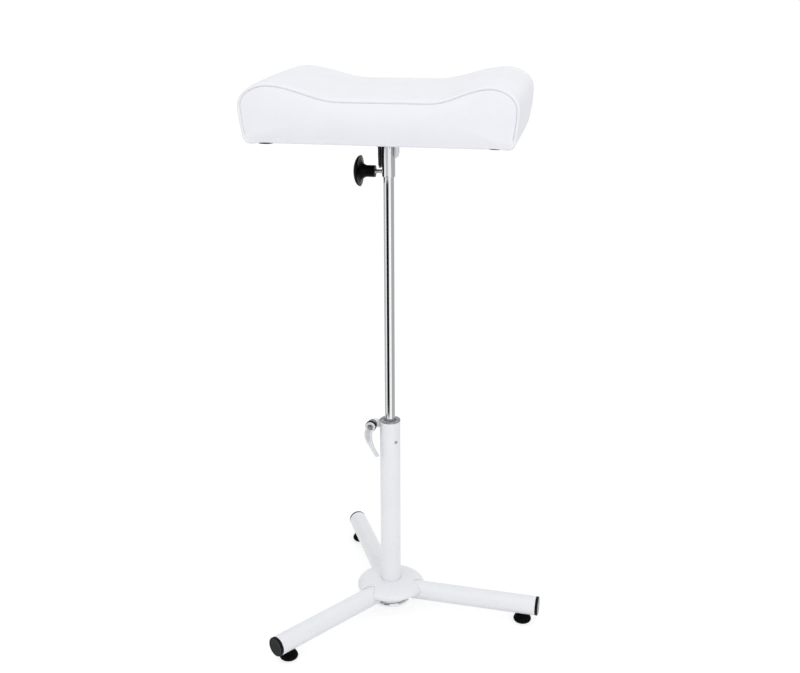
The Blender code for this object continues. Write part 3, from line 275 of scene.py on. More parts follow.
def black_cloth():
    """Thin non-woven cloth with its pressed dots."""
    look = Look("black_cloth", (0.02, 0.02, 0.02), 0.9)
    dots = look.cells(650)
    look.tint(dots, (0.010, 0.010, 0.011), (0.030, 0.030, 0.031), 0.05, 0.5)
    look.set("Sheen Weight", 0.15)
    return look.bump((dots, 0.5, 0.2), (look.noise(1800, 3.0), 0.3, 0.06))


LOOKS = {look.name: look for look in (
    mottled("white_paint", (0.81, 0.82, 0.84), 0.32,
            ((14, 4.0), (0.80, 0.81, 0.832), (0.83, 0.84, 0.856)), ((120, 3.0), 0.26, 0.38),
            ((420, 2.0), 0.25, 0.10), ((900, 2.0), 0.10, 0.03), soften=0.5),
    mottled("dark_steel", (0.34, 0.34, 0.35), 0.30,
            ((500, 4.0), (0.24, 0.24, 0.25), (0.46, 0.46, 0.47)), ((700, 3.0), 0.22, 0.42),
            ((1400, 3.0), 0.2, 0.03), metallic=1.0),
    mottled("black_rubber", (0.003, 0.003, 0.003), 0.6,
            ((90, 4.0), (0.002, 0.002, 0.002), (0.005, 0.005, 0.005)), ((350, 3.0), 0.5, 0.7),
            ((1200, 3.0), 0.3, 0.05), specular=0.03, soften=0.3),
    mottled("black_paint", (0.014, 0.014, 0.017), 0.25,
            ((50, 3.0), (0.011, 0.011, 0.014), (0.018, 0.018, 0.021)),
            ((150, 3.0), 0.18, 0.34), ((260, 2.0), 0.05, 0.03), specular=0.4, soften=0.4),
    mottled("grey_nylon", (0.26, 0.26, 0.28), 0.45,
            ((220, 4.0, 0.65), (0.11, 0.11, 0.12), (0.44, 0.44, 0.46)),
            ((300, 3.0), 0.35, 0.55), ((900, 3.0), 0.2, 0.05)),
    black_plastic("black_plastic", 0.005, 0.09, 0.10),
    black_plastic("knob_plastic", 0.003, 0.06), chrome("chrome", (900, 900, 900)),
    chrome("chrome_pole", (1500, 1500, 14)), satin_chrome(), steel(), zinc(),
    leather("white_faux_leather"), leather("piping_leather"), plywood(), black_cloth())}


# Mesh tools
def placed(name, data):
    """A new object of the data, in the scene."""
    made = bpy.data.objects.new(name, data)
    bpy.context.scene.collection.objects.link(made)
    return made


def mesh_object(name, verts, faces, place):
    """An object at the origin whose millimetre points are put in place in its mesh."""
    mesh = bpy.data.meshes.new(name)
    mesh.from_pydata([tuple(v) for v in verts], [], faces)
    mesh.transform(place @ Matrix.Scale(MM, 4))
    mesh.validate()
    tidy = bmesh.new()
    tidy.from_mesh(mesh)
    bmesh.ops.recalc_face_normals(tidy, faces=tidy.faces)
    tidy.to_mesh(mesh)
    tidy.free()
    return placed(name, mesh)


def settle(piece):
    """The piece's modifiers made part of its mesh."""
    bpy.context.view_layer.update()
    graph = bpy.context.evaluated_depsgraph_get()
    old = piece.data
    mesh = bpy.data.meshes.new_from_object(piece.evaluated_get(graph))
    piece.modifiers.clear()
    piece.data = mesh
    bpy.data.meshes.remove(old)
    return piece


def carve(piece, *tools, operation="DIFFERENCE"):
    """Cuts, joins or keeps the tools' space, and removes the tools."""
    for tool in tools:
        step = piece.modifiers.new("step", "BOOLEAN")
        step.operation, step.solver, step.object = operation, "EXACT", tool
        settle(piece)
        bpy.data.objects.remove(tool)
    return piece


def bevelled(piece, width, segments=2):
    """The piece with its sharp edges rounded off."""
    step = piece.modifiers.new("edges", "BEVEL")
    step.width, step.segments = width * MM, segments
    step.limit_method, step.angle_limit = "ANGLE", ROUNDED
    return settle(piece)


def arc(centre, reach, start, end, steps):
    """Points of an ellipse with these two reaches, from one angle to the other."""
    angles = [math.radians(start + (end - start) * k / steps) for k in range(steps + 1)]
    return [(centre[0] + reach[0] * math.cos(a), centre[1] + reach[1] * math.sin(a))
            for a in angles]


def polygon(radius, corners):
    return arc((0, 0), (radius, radius), 0, 360, corners)[:-1]


def lathe_mesh(profile, segments, closed):
    """Points and faces of (radius, height) points turned about Z."""
    verts, rows = [], []
    for radius, height in profile:
        if radius < 1e-6:
            rows.append([len(verts)])
            verts.append((0, 0, height))
            continue
        rows.append(list(range(len(verts), len(verts) + segments)))
        verts += [(x, y, height) for x, y in polygon(radius, segments)]
    pairs = list(zip(rows, rows[1:])) + ([(rows[-1], rows[0])] if closed else [])
    faces = []
    for low, high in pairs:
        for k in range(segments):
            after = (k + 1) % segments
            quad = [low[k % len(low)], low[after % len(low)], high[after % len(high)],
                    high[k % len(high)]]
            faces.append(list(dict.fromkeys(quad)))
    return verts, [face for face in faces if len(face) > 2]


def rounded(corners, closed, steps=5):
    """Corners (radius, height, fillet) as points, with an arc at each fillet."""
    count = len(corners)
    points = []
    for k, corner in enumerate(corners):
        here = np.array(corner[:2], float)
        fillet = corner[2] if len(corner) > 2 else 0
        if not fillet or (not closed and k in (0, count - 1)):
            points.append(tuple(here))
            continue
        back = np.array(corners[k - 1][:2], float) - here
        ahead = np.array(corners[(k + 1) % count][:2], float) - here
        back_length, ahead_length = np.linalg.norm(back), np.linalg.norm(ahead)
        back, ahead = back / back_length, ahead / ahead_length
        half = math.acos(max(-1, min(1, float(back @ ahead)))) / 2
        reach = min(fillet / math.tan(half), 0.49 * back_length, 0.49 * ahead_length)
        radius = reach * math.tan(half)
        middle = (back + ahead) / np.linalg.norm(back + ahead)
        centre = here + middle * radius / math.sin(half)
        first, last = here + back * reach - centre, here + ahead * reach - centre
        sweep = math.pi - 2 * half
        side = np.sign(first[0] * last[1] - first[1] * last[0])
        for n in range(steps + 1):
            a = side * sweep * n / steps
            points.append((centre[0] + first[0] * math.cos(a) - first[1] * math.sin(a),
                           centre[1] + first[0] * math.sin(a) + first[1] * math.cos(a)))
    return points


def supported(points, closed):
    """Points near both ends of each long run, which keep its shading straight."""
    made = []
    last = len(points) - 1
    for k, here in enumerate(points):
        made.append(here)
        if k == last and not closed:
            break
        there = points[(k + 1) % len(points)]
        length = math.dist(here, there)
        if length > LONG_RUN:
            for share in (SUPPORT / length, 1 - SUPPORT / length):
                made.append(tuple(a + (b - a) * share for a, b in zip(here, there)))
    return made


def lathe(name, corners, place, segments=ROUND):
    """A turned piece from filleted corners: a solid that starts on its axis, or a ring."""
    closed = corners[0][0] > 0
    points = supported(rounded(corners, closed), closed)
    return mesh_object(name, *lathe_mesh(points, segments, closed), place)


def rod(radius, low, high, place, segments=SMALL):
    """A plain round tool along Z."""
    corners = [(0, low), (radius, low), (radius, high), (0, high)]
    return lathe("tool", corners, place, segments)


def prism(name, outline, low, high, place):
    """A straight solid on a closed outline, from low to high along Z."""
    rings = [[(x, y, z) for x, y in outline] for z in (low, high)]
    return mesh_object(name, *loft_mesh(rings), place)


def ring_faces(rows, count):
    """Faces between closed rings of count points each."""
    faces = []
    for row in range(rows - 1):
        for k in range(count):
            near, next_to = row * count + k, row * count + (k + 1) % count
            faces.append([near, next_to, next_to + count, near + count])
    return faces


def loft_mesh(rings):
    """Points and faces through rings of equal length, with flat ends."""
    count = len(rings[0])
    verts = [tuple(p) for ring in rings for p in ring]
    ends = [list(range(count)), list(range(len(verts) - count, len(verts)))]
    return verts, ends + ring_faces(len(rings), count)


def move_frame(path):
    """Along, side and up directions that don't twist, at each point of a path."""
    points = [Vector(p) for p in path]
    side = None
    frames = []
    for k, point in enumerate(points):
        ahead = (points[min(k + 1, len(points) - 1)] - points[max(k - 1, 0)]).normalized()
        if side is None:
            side = ahead.orthogonal().normalized()
        side = (side - ahead * side.dot(ahead)).normalized()
        frames.append((point, side, ahead.cross(side)))
    return frames


def tube(name, path, radii, place, sides=16):
    """A round bar with flat ends along a path."""
    turns = [2 * math.pi * n / sides for n in range(sides)]
    rings = [[point + radius * (math.cos(a) * side + math.sin(a) * up) for a in turns]
             for (point, side, up), radius in zip(move_frame(path), radii)]
    return mesh_object(name, *loft_mesh(rings), place)


def thread(name, radius, low, high, place, pitch=1.0, depth=0.32):
    """A right-handed screw thread about Z with chamfered ends."""
    rows_a_turn, chamfer = 8, 0.7
    rows = int((high - low) / pitch * rows_a_turn)
    rings = []
    for row in range(rows + 1):
        z = low + (high - low) * row / rows
        limit = radius - max(0, chamfer - min(z - low, high - z))
        ring = []
        for k, (x, y) in enumerate(polygon(1, SMALL)):
            share = (z / pitch - k / SMALL) % 1
            r = min(radius - depth * (1 - abs(2 * share - 1)), limit)
            ring.append((r * x, r * y, z))
        rings.append(ring)
    return mesh_object(name, *loft_mesh(rings), place)


# How a piece joins the model
def finish_piece(piece, body, look, replaces=()):
    mesh = piece.data
    mesh.materials.clear()
    mesh.materials.append(LOOKS[look].material)
    mesh.polygons.foreach_set("use_smooth", [True] * len(mesh.polygons))
    mesh.set_sharp_from_angle(angle=SHARP)
    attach(piece, body)
    if replaces:
        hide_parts(*replaces)


def stand_for(piece, node, look):
    """The piece takes its node's name and body, and hides the node."""
    piece.name = node + "_fine"
    finish_piece(piece, body_of(frame["nodes"][node])[0], look, (node,))


# Base
def leg_place(degrees):
    return STAND @ shift(0, 0, LEG_Z) @ turn("Z", degrees)


def make_hub():
    """The casting: a barrel under a domed upper side, with a tunnel for each leg."""
    corners = [(5.3, 14.5), (29, 14.5, 0.8), (29, 33.0, 1.5), (53.7, 33.0, 1.4)]
    corners += arc((16.1, 35.2), (37.6, 12.0), 0, 90, 22)[:-1]
    corners += [(16.8, 47.2), (16.1, 46.7), (16.1, 17.5), (5.3, 17.5)]
    hub = lathe("hub", corners, STAND, FINE)
    tunnels = [rod(15.3, 20.5, 90, leg_place(degrees) @ ALONG_X, ROUND)
               for degrees in LEGS.values()]
    holes = [rod(2.3, 10, 26.5, place) for place in PLATE_SCREWS]
    stand_for(carve(hub, *tunnels, *holes), "hub_casting", "white_paint")


def make_plate():
    """The pressed plate under the hub, with its rim turned down, and its screws."""
    corners = [(5.3, 11.0, 0.3), (27.9, 11.0, 1.0), (28.9, 8.0, 0.5), (30.6, 8.0, 0.7),
               (31.4, 12.0, 1.6), (30.2, 14.2, 0.9), (5.3, 14.2)]
    plate = lathe("plate", corners, STAND, FINE)
    stand_for(plate, "base_plate", "chrome")
    corners = [(0, 8.5), (2.4, 8.6), (3.6, 9.4, 0.5), (3.6, 10.7, 0.2), (2.0, 10.7),
               (2.0, 26.2, 0.4), (0, 26.2)]
    for index, place in enumerate(PLATE_SCREWS):
        screw = lathe("screw", corners, place, SMALL)
        cross = [prism("slot", box_outline(4.6, 0.8), 8.0, 9.5, place @ turn("Z", a))
                 for a in (20, 110)]
        stand_for(carve(screw, *cross), f"plate_screw_{index + 1}", "steel")


def box_outline(width, depth):
    x, y = width / 2, depth / 2
    return [(-x, -y), (x, -y), (x, y), (-x, y)]


def hex_head(radius, low, high, place):
    """A hexagon head whose outer corners are turned off at a slant."""
    head = prism("head", polygon(radius, 6), low, high, place)
    cut = radius * 0.14
    corners = [(0, low - 0.01), (radius, low), (radius, high - cut * 0.55),
               (radius - cut, high), (0, high + 0.01)]
    return carve(head, lathe("barrel", corners, place), operation="INTERSECT")


def make_base_bolt():
    low, high = 4.5, 10.7
    flip = STAND @ shift(0, 0, low + high) @ turn("X", 180)
    bolt = hex_head(9.8, low, high, flip)
    shank = thread("shank", 5.0, 8.0, 27.3, STAND, pitch=1.5, depth=0.7)
    stand_for(carve(bolt, shank, operation="UNION"), "base_bolt", "zinc_plate")


def make_leg(name, degrees):
    place = leg_place(degrees)
    corners = [(13.5, 20.8), (15, 20.8, 0.3), (15, 236.5, 0.35), (13.5, 236.5)]
    leg = lathe("leg", corners, place @ ALONG_X, FINE)
    hole = rod(5.8, -19, 0, place @ shift(GLIDE_REACH, 0))
    stand_for(carve(leg, hole), "leg_tube_" + name, "white_paint")
    corners = [(0, 236.8), (11.2, 236.8), (11.2, 223.8), (13.0, 223.8, 0.4), (13.2, 236.8),
               (15, 236.8, 0.2), (15, 241.0, 1.3), (12.5, 241.0), (11.8, 240.8), (0, 240.8)]
    cap = lathe("cap", corners, place @ ALONG_X)
    stand_for(cap, "leg_cap_" + name, "black_plastic")


def glide_corners():
    """A flat foot, a side that is widest low down and a flat top with the stem's well."""
    radius, widest, steps = 14, 4.8, 20
    points = [(0, 0), (9.4, 0)]
    for k in range(1, steps):
        a = math.pi * (k / steps - 0.5)
        narrow, height, bend = (9.4, widest, 1) if a < 0 else (7.4, 9.4, 1.5)
        out, up = math.cos(a) ** bend, math.copysign(abs(math.sin(a)) ** bend, a)
        points.append((narrow + (radius - narrow) * out, widest + height * up))
    return points + [(7.0, 14.2), (HOLE_6, 14.2), (HOLE_6, 4.2), (0, 4.2)]


def make_glide(name, degrees):
    place = around(GLIDE_REACH, degrees)
    stand_for(lathe("pad", glide_corners(), place), "glide_pad_" + name, "black_rubber")
    stem = thread("stem", 3.0, 4.5, 26.0, place)
    stand_for(stem, "glide_screw_" + name, "zinc_plate")


# Column
def make_column():
    corners = [(14, 17.8), (16, 17.8), (16, 320.3, 0.5), (14, 320.3, 0.3)]
    column = lathe("column", corners, STAND, FINE)
    carve(column, rod(HOLE_5, 0, 20, BUSH_SCREW), slit(-24.5))
    stand_for(column, "column_tube", "white_paint")


def slit(low):
    """The cut between the lugs, from above the column down to a depth below the clamp."""
    outline = [(0, -HALF_SLIT), (25, -HALF_SLIT), (25, HALF_SLIT), (0, HALF_SLIT)]
    return prism("slit", outline, low, 20, LUGS)


def make_bush():
    corners = [(8.3, 282.6), (13.7, 282.6, 0.3), (13.7, 320.6), (16, 320.6, 0.2),
               (16, 322.6, 0.6), (9.6, 322.6, 0.3), (8.3, 321.3)]
    bush = lathe("bush", corners, STAND, FINE)
    carve(bush, rod(HOLE_5, 11.4, 20, BUSH_SCREW), slit(-60))
    stand_for(bush, "guide_bush", "grey_nylon")
    corners = [(0, 11.7), (2.1, 11.7), (2.5, 12.1), (2.5, 15.2), (2.3, 15.4), (0, 15.4)]
    screw = lathe("screw", corners, BUSH_SCREW, SMALL)
    socket = prism("socket", polygon(1.3, 6), 14.0, 20.0, BUSH_SCREW)
    stand_for(carve(screw, socket), "bush_screw", "zinc_plate")


# Clamp
def make_lugs():
    """Two plates beside the slit, rounded about the screw, that the lever draws together."""
    half, thick = 5.5, 3.5
    outline = [(half, 12.0), (-half, 12.0)] + arc((0, 0), (-half, -half), 0, 180, 32)
    far = HALF_SLIT + thick
    for name, low, high in (("front", HALF_SLIT, far), ("back", -far, -HALF_SLIT)):
        lug = bevelled(prism("lug", outline, low, high, CLAMP_AXIS), 0.5, 3)
        carve(lug, rod(16.3, -22, 22, LUGS, FINE), rod(HOLE_6, -9, 9, CLAMP_AXIS))
        stand_for(lug, "clamp_lug_" + name, "white_paint")
    corners = [(HOLE_6, 4.6), (7.3, 4.6, 0.4), (7.3, 6.8, 0.4), (HOLE_6, 6.8)]
    washer = lathe("washer", corners, CLAMP_AXIS)
    stand_for(washer, "lever_washer", "black_rubber")


def squircle(width, height, power=3.2, count=32):
    """Points round a rectangle with full, soft corners."""
    return [(width / 2 * math.copysign(abs(c) ** (2 / power), c),
             height / 2 * math.copysign(abs(s) ** (2 / power), s))
            for c, s in polygon(1, count)]


def lever_arm():
    """The arm as rings from inside the hub to its rounded tip, in the clamp's frame."""
    swing, length, tip, root = math.radians(13.5), 49.5, 0.06, 15.7
    down = Vector((0, math.sin(swing), -math.cos(swing)))
    across = Vector((0, math.cos(swing), math.sin(swing)))
    stations = np.array([0, 0.14, 0.30, 0.45, 0.70, 0.90, 1.0])
    widths = np.array([12.4, 13.4, 12.2, 9.6, 6.8, 6.8, 7.0])
    thicks = np.array([7.0, 7.0, 6.8, 6.2, 5.4, 5.2, 5.2])
    rises = np.array([0, 0.3, 0.8, 1.0, 1.0, 1.0, 1.0]) * 4.7
    rings = []
    for t in (*np.linspace(0, 1 - tip, 26), *(1 - tip * (1 - np.linspace(0.15, 1, 8)))):
        width, thick, rise = (np.interp(t, stations, row) for row in (widths, thicks, rises))
        past = max(0.0, (t - (1 - tip)) / tip)
        size = math.sqrt(max(0.0, 1 - past ** 2)) * 0.97 + 0.03
        bow = -6.8 * math.sin(math.pi * t ** 0.7)
        centre = Vector((root + rise, 0, 0)) + down * length * t + across * bow
        rings.append([centre + across * a * size + Vector((b * size, 0, 0))
                      for a, b in squircle(width, thick)])
    return loft_mesh(rings)


def soften(piece, rounds):
    """Moves each point to and fro between itself and the middle of its neighbours."""
    mesh = piece.data
    count = len(mesh.vertices)
    points = np.empty(count * 3)
    mesh.vertices.foreach_get("co", points)
    points = points.reshape(-1, 3)
    ends = np.empty(len(mesh.edges) * 2, dtype=np.int64)
    mesh.edges.foreach_get("vertices", ends)
    ends = ends.reshape(-1, 2)
    degree = np.bincount(ends.ravel(), minlength=count)[:, None]
    for n in range(rounds):
        total = np.zeros_like(points)
        np.add.at(total, ends[:, 0], points[ends[:, 1]])
        np.add.at(total, ends[:, 1], points[ends[:, 0]])
        points += (0.5, -0.51)[n % 2] * (total / degree - points)
    mesh.vertices.foreach_set("co", points.ravel())
    mesh.update()


def make_lever():
    """The cast handle with the black band round its hub, and its screw."""
    corners = [(0, 7.1), (7.3, 7.1, 0.4), (7.3, 17.4), (7.7, 17.9, 0.3), (7.5, 19.8, 0.6),
               (0, 19.8)]
    lever = lathe("lever", corners, CLAMP_AXIS)
    carve(lever, mesh_object("arm", *lever_arm(), CLAMP), operation="UNION")
    step = lever.modifiers.new("cast", "REMESH")
    step.mode = "VOXEL"
    step.voxel_size = 0.36 * MM
    soften(settle(lever), 16)
    # The screw's hole is cut last: cut earlier, it leaves stray faces inside
    carve(lever, rod(5.9, 2, 10.8, CLAMP_AXIS), rod(4.75, 13.6, 26, CLAMP_AXIS, ROUND),
          prism("teeth", polygon(5.4, 24), 10.5, 12.3, CLAMP_AXIS),
          rod(2.1, 9, 20, CLAMP_AXIS))
    stand_for(lever, "lever_handle", "satin_chrome")
    corners = [(7.25, 11.0), (8.35, 11.2, 0.2), (8.35, 17.2, 0.2), (7.25, 17.4)]
    band = lathe("lever_band", corners, CLAMP_AXIS, FINE)
    carve(band, mesh_object("arm", *lever_arm(), CLAMP))
    finish_piece(band, "clamp_lever", "knob_plastic")
    corners = [(0, 9.0), (1.8, 9.0, 0.3), (1.8, 17.7), (4.5, 17.7, 0.2), (4.5, 19.2, 0.4),
               (3.6, 19.5), (0, 19.5)]
    screw = lathe("screw", corners, CLAMP_AXIS, SMALL)
    slot = prism("slot", box_outline(12, 1.0), 18.8, 23, CLAMP_AXIS @ turn("Z", 25))
    stand_for(carve(screw, slot), "lever_screw", "dark_steel")


# Pole and head
def make_pole():
    corners = [(6.5, 291.2), (8, 291.2, 0.3), (8, 732.7, 0.3), (6.5, 732.7)]
    pole = lathe("pole", corners, STAND, FINE)
    stand_for(pole, "pole_tube", "chrome_pole")


def sleeve_keep():
    """What is kept of the sleeve: all below the pivot, and above it a round about the pivot."""
    outline = arc((0, 0), (-SLEEVE_RADIUS, SLEEVE_RADIUS), 0, 180, 48)
    outline += [(12, -0.001), (12, -60), (-12, -60), (-12, -0.001)]
    return prism("keep", outline, -12, 12, PIVOT @ FACING_X)


def make_sleeve():
    corners = [(8.3, 699.0), (SLEEVE_RADIUS, 699.0, 0.4), (SLEEVE_RADIUS, 760.0), (8.3, 760.0)]
    sleeve = lathe("sleeve", corners, STAND, FINE)
    plug = rod(8.0, 733.0, 760.0, STAND, ROUND)
    for piece in (sleeve, plug):
        carve(piece, sleeve_keep(), operation="INTERSECT")
        carve(piece, rod(HOLE_6, -14, 14, PIVOT_AXIS))
    carve(sleeve, rod(HOLE_6, 0, 14, KNOB))
    stand_for(sleeve, "sleeve_tube", "chrome_pole")
    stand_for(plug, "sleeve_plug", "steel")


def make_knob():
    """A mushroom head that flares out from its collar, and its threaded stud."""
    corners = [(0, 30.0), (HOLE_6, 30.0), (HOLE_6, 19.7, 0.3), (8.5, 19.7, 0.25), (8.5, 31.2)]
    corners += arc((22.4, 31.2), (-13.9, 10.3), 0, 90, 14)[1:-1]
    corners += arc((0, 41.5), (22.4, 9.3), 0, 90, 14)[:-1] + [(0, 50.8)]
    stand_for(lathe("knob", corners, KNOB, FINE), "knob_head", "knob_plastic")
    stand_for(thread("screw", 3.0, 8.3, 29.7, KNOB), "knob_screw", "zinc_plate")


def make_pivot():
    bolt = hex_head(5.5, 13.5, 17.5, PIVOT_AXIS)
    shank = thread("shank", 3.0, -20.0, 15.5, PIVOT_AXIS)
    stand_for(carve(bolt, shank, operation="UNION"), "pivot_bolt", "zinc_plate")
    nut = hex_head(5.5, 13.5, 19.0, PIVOT @ turn("Z", 180) @ ALONG_X)
    carve(nut, rod(HOLE_6, -24, 24, PIVOT_AXIS))
    stand_for(nut, "pivot_nut", "zinc_plate")


# Brackets and underside
def rounded_box(x0, x1, y0, y1, corner, steps=8):
    outline = []
    for x, y, quarter in ((x1, y1, 0), (x0, y1, 1), (x0, y0, 2), (x1, y0, 3)):
        cx = x - math.copysign(corner, x - (x0 + x1) / 2)
        cy = y - math.copysign(corner, y - (y0 + y1) / 2)
        outline += arc((cx, cy), (corner, corner), 90 * quarter, 90 * quarter + 90, steps)
    return outline


BRACKET_SCREWS = [(x, y) for x in (-26, 26) for y in (-13, 13)]


def make_bracket(name, side, drop, look):
    """An angle plate with a bend along the sleeve's side."""
    inner, outer = sorted((side * 10.2, side * 38.0))
    flange = prism("flange", rounded_box(inner, outer, -22, 22, 4), 7.7, 10.7, TILT)
    half, cut = 12.0, 5.0
    outline = [(half, 9.2), (half, -drop + cut), (half - cut, -drop), (-half + cut, -drop),
               (-half, -drop + cut), (-half, 9.2)]
    near, far = sorted((side * 10.2, side * 13.2))
    carve(flange, prism("ear", outline, near, far, TILT @ FACING_X), operation="UNION")
    bevelled(flange, 0.35)
    holes = [rod(HOLE_6, near - 4, far + 4, TILT @ ALONG_X)]
    holes += [rod(HOLE_5, 2, 16, TILT @ shift(x, y)) for x, y in BRACKET_SCREWS if x * side > 0]
    stand_for(carve(flange, *holes), name, look)


def make_bracket_screws():
    corners = [(0, 5.0), (2.4, 5.05), (3.9, 5.7, 0.6), (4.5, 7.2, 0.1), (4.5, 7.4),
               (2.5, 7.4), (2.5, 21.8), (0, 21.8)]
    for index, (x, y) in enumerate(BRACKET_SCREWS):
        place = TILT @ shift(x, y)
        screw = lathe("screw", corners, place, SMALL)
        socket = prism("socket", polygon(1.7, 6), 2.0, 6.8, place)
        stand_for(carve(screw, socket), f"bracket_screw_{index + 1}", "zinc_plate")


CUSHION_FRONT = -81.75
CUSHION_DEPTH = 203.5
CUSHION_BACK = CUSHION_FRONT + CUSHION_DEPTH
CUSHION_LOW = 12.1
CLOTH_Z = 11.0
# How far behind each end of the cushion the cloth's hem runs, and half the cloth's length
HEM_INSET, HEM_X = 6.6, 178.5


def cloth_drop(x, y):
    """How far the bottom cloth bellies below its seat: folds by the front corners."""
    inside = y - CUSHION_FRONT - 6
    front, taut = math.exp(-(inside / 6.0) ** 2), math.exp(-(inside / 18.0) ** 2)
    pulled = float(pulled_up(np.float64(x)))
    wave = 0.12 * math.sin(x * 0.11) * math.sin(y * 0.07)
    return 0.15 + wave + 1.1 * front * pulled - 0.5 * taut * (1 - min(1, pulled))


def make_cloth():
    outline = rounded_box(-HEM_X, HEM_X, CUSHION_FRONT + HEM_INSET, CUSHION_BACK - HEM_INSET,
                          12, 10)
    dense = []
    for a, b in zip(outline, outline[1:] + outline[:1]):
        steps = max(1, int(math.dist(a, b) / 4))
        dense += [(a[0] + (b[0] - a[0]) * n / steps, a[1] + (b[1] - a[1]) * n / steps)
                  for n in range(steps)]
    middle = (CUSHION_FRONT + CUSHION_BACK) / 2
    rings = [[(x, y, z) for x, y in dense] for z in (11.95, 11.70)]
    for share in (0.985, 0.96, 0.92, 0.86, 0.76, 0.6, 0.4, 0.2):
        ring = [(x * share, middle + (y - middle) * share) for x, y in dense]
        rings.append([(x, y, CLOTH_Z - cloth_drop(x, y)) for x, y in ring])
    cloth = mesh_object("cloth", *loft_mesh(rings), TILT)
    holes = [rod(HOLE_5, 2, 16, TILT @ shift(x, y)) for x, y in BRACKET_SCREWS]
    stand_for(carve(cloth, *holes), "bottom_cloth", "black_cloth")


def make_staples():
    """Flat staples round the hem of the bottom cloth."""
    verts, faces = [], []
    inset, wide, thick = 12.0, 10.0, 0.7
    x_end, front, back = 179 - inset, CUSHION_FRONT + 6 + inset, CUSHION_BACK - 6 - inset
    places = [(x, y, 0) for y in (front, back) for x in np.linspace(-x_end + 14, x_end - 14, 10)]
    places += [(x, y, 90) for x in (-x_end, x_end) for y in np.linspace(front + 16, back - 16, 5)]
    for x, y, degrees in places:
        a = math.radians(degrees + 8)
        c, s = math.cos(a), math.sin(a)
        low = CLOTH_Z - cloth_drop(x, y) - 0.45
        first = len(verts)
        for dz in (0, thick):
            for u, v in box_outline(wide, 1.2):
                verts.append((x + u * c - v * s, y + u * s + v * c, low + dz))
        corners = [(0, 1, 2, 3), (4, 5, 6, 7), (0, 1, 5, 4), (1, 2, 6, 5), (2, 3, 7, 6),
                   (3, 0, 4, 7)]
        faces += [[first + k for k in face] for face in corners]
    staples = bevelled(mesh_object("cloth_staples", verts, faces, TILT), 0.25)
    finish_piece(staples, "rest", "zinc_plate")


# Cushion
SIDE_X, SIDE_Z = 193.4, 50.0
BUMP_Z, VALLEY_Z = 81.8, 61.6
FOOT_X, FOOT_CORNER = 189.0, 11.0
# Where the bumps' tops and the valley's ends stand: right and left, at the front and the back
FRONT_SHAPE = ((154.5, 72.0, 0.0), (150.0, 48.0, 0.0))
BACK_SHAPE = ((154.5, 50.0, -1.3), (152.0, 50.0, -3.4))
CROWN_HEIGHTS, CROWN_RISES = (0.0, 61.6, 81.8), (0.0, 3.0, 0.8)
SIDE_CROWN, FACE_CROWN = 2.0, 3.4
PIPING_RADIUS = 2.05
PIPING_INSET = 1.8
OUTLINE_COUNT = 150
# The cushion's ends, by the sign of the way in from them
END_Y = {1: CUSHION_FRONT, -1: CUSHION_BACK}
# How far in from each end the cover's edge rows reach
EDGE_DEPTH = 24


def upper_run(shape):
    """Half of the end view, from the widest point of the side up to the valley's middle."""
    bump, valley, extra = shape
    top = BUMP_Z + extra
    points = arc((bump, SIDE_Z), (SIDE_X - bump, top - SIDE_Z), 0, 90, 40)[:-1]
    for k in range(41):
        rise = (1 + math.cos(math.pi * k / 40)) / 2
        points.append((bump - (bump - valley) * k / 40, VALLEY_Z + (top - VALLEY_Z) * rise))
    return points + [(0, VALLEY_Z)]


def lower_run():
    """Right half of the end view, from the widest point of the side down to the foot's middle."""
    bulge = 1.6
    middle = ((FOOT_X + SIDE_X) / 2 + bulge, (FOOT_CORNER + SIDE_Z) / 2)
    points = []
    for k in range(24):
        t = k / 24
        points.append(tuple((1 - t) ** 2 * a + 2 * t * (1 - t) * b + t ** 2 * c for a, b, c in
                            zip((SIDE_X, SIDE_Z), middle, (FOOT_X, FOOT_CORNER))))
    centre = (FOOT_X - FOOT_CORNER, FOOT_CORNER)
    return points + arc(centre, (FOOT_CORNER, -FOOT_CORNER), 0, 90, 12) + [(0, 0)]


def resampled(points, count):
    """The run as count steps of nearly even length, finer where it bends."""
    points = np.array(points, float)
    steps = np.linalg.norm(np.diff(points, axis=0), axis=1)
    heading = np.unwrap(np.arctan2(*np.diff(points, axis=0).T[::-1]))
    bend = np.abs(np.diff(heading, prepend=heading[0]))
    measure = np.concatenate([[0], np.cumsum(steps + 14 * bend)])
    at = np.linspace(0, measure[-1], count + 1)
    return np.stack([np.interp(at, measure, points[:, k]) for k in (0, 1)], axis=1)


def end_outline(shapes):
    """The end view as a closed run: over the top from right to left, then back below."""
    right, left = (resampled(upper_run(shape), OUTLINE_COUNT // 2) for shape in shapes)
    low = resampled(lower_run(), OUTLINE_COUNT // 2)
    mirror = np.array([-1, 1])
    top = np.concatenate([right, (left * mirror)[-2::-1]])
    bottom = np.concatenate([(low * mirror), low[-2::-1]])
    return np.concatenate([top, bottom[1:-1]])


def inward(outline):
    ahead = np.roll(outline, -1, axis=0) - np.roll(outline, 1, axis=0)
    ahead /= np.linalg.norm(ahead, axis=1)[:, None]
    return np.stack([-ahead[:, 1], ahead[:, 0]], axis=1)


# Rows of the cover's edge as (inward, along) points: a seam groove and a plain fold
PLAIN = ((0.0, EDGE_DEPTH), (0.0, 16.0), (0.0, 12.0), (0.0, 9.0))
GROOVE = PLAIN + ((0.08, 7.0), (0.25, 5.6), (0.6, 4.7), (1.2, 4.15), (2.1, 3.9), (3.0, 3.5),
                  (3.5, 3.0), (3.9, 2.1), (4.15, 1.2), (4.7, 0.6), (5.6, 0.25))
FOLD = PLAIN + ((-0.1, 7.2), (-0.45, 6.4), (-0.9, 5.7), (-1.25, 4.9), (-1.35, 4.0),
                (-1.2, 3.1), (-0.8, 2.3), (-0.1, 1.6), (0.9, 1.05), (2.3, 0.7), (4.4, 0.45))
FACE = (0.03, 0.08, 0.15, 0.24, 0.35, 0.48, 0.62, 0.78, 0.92, 1.0)


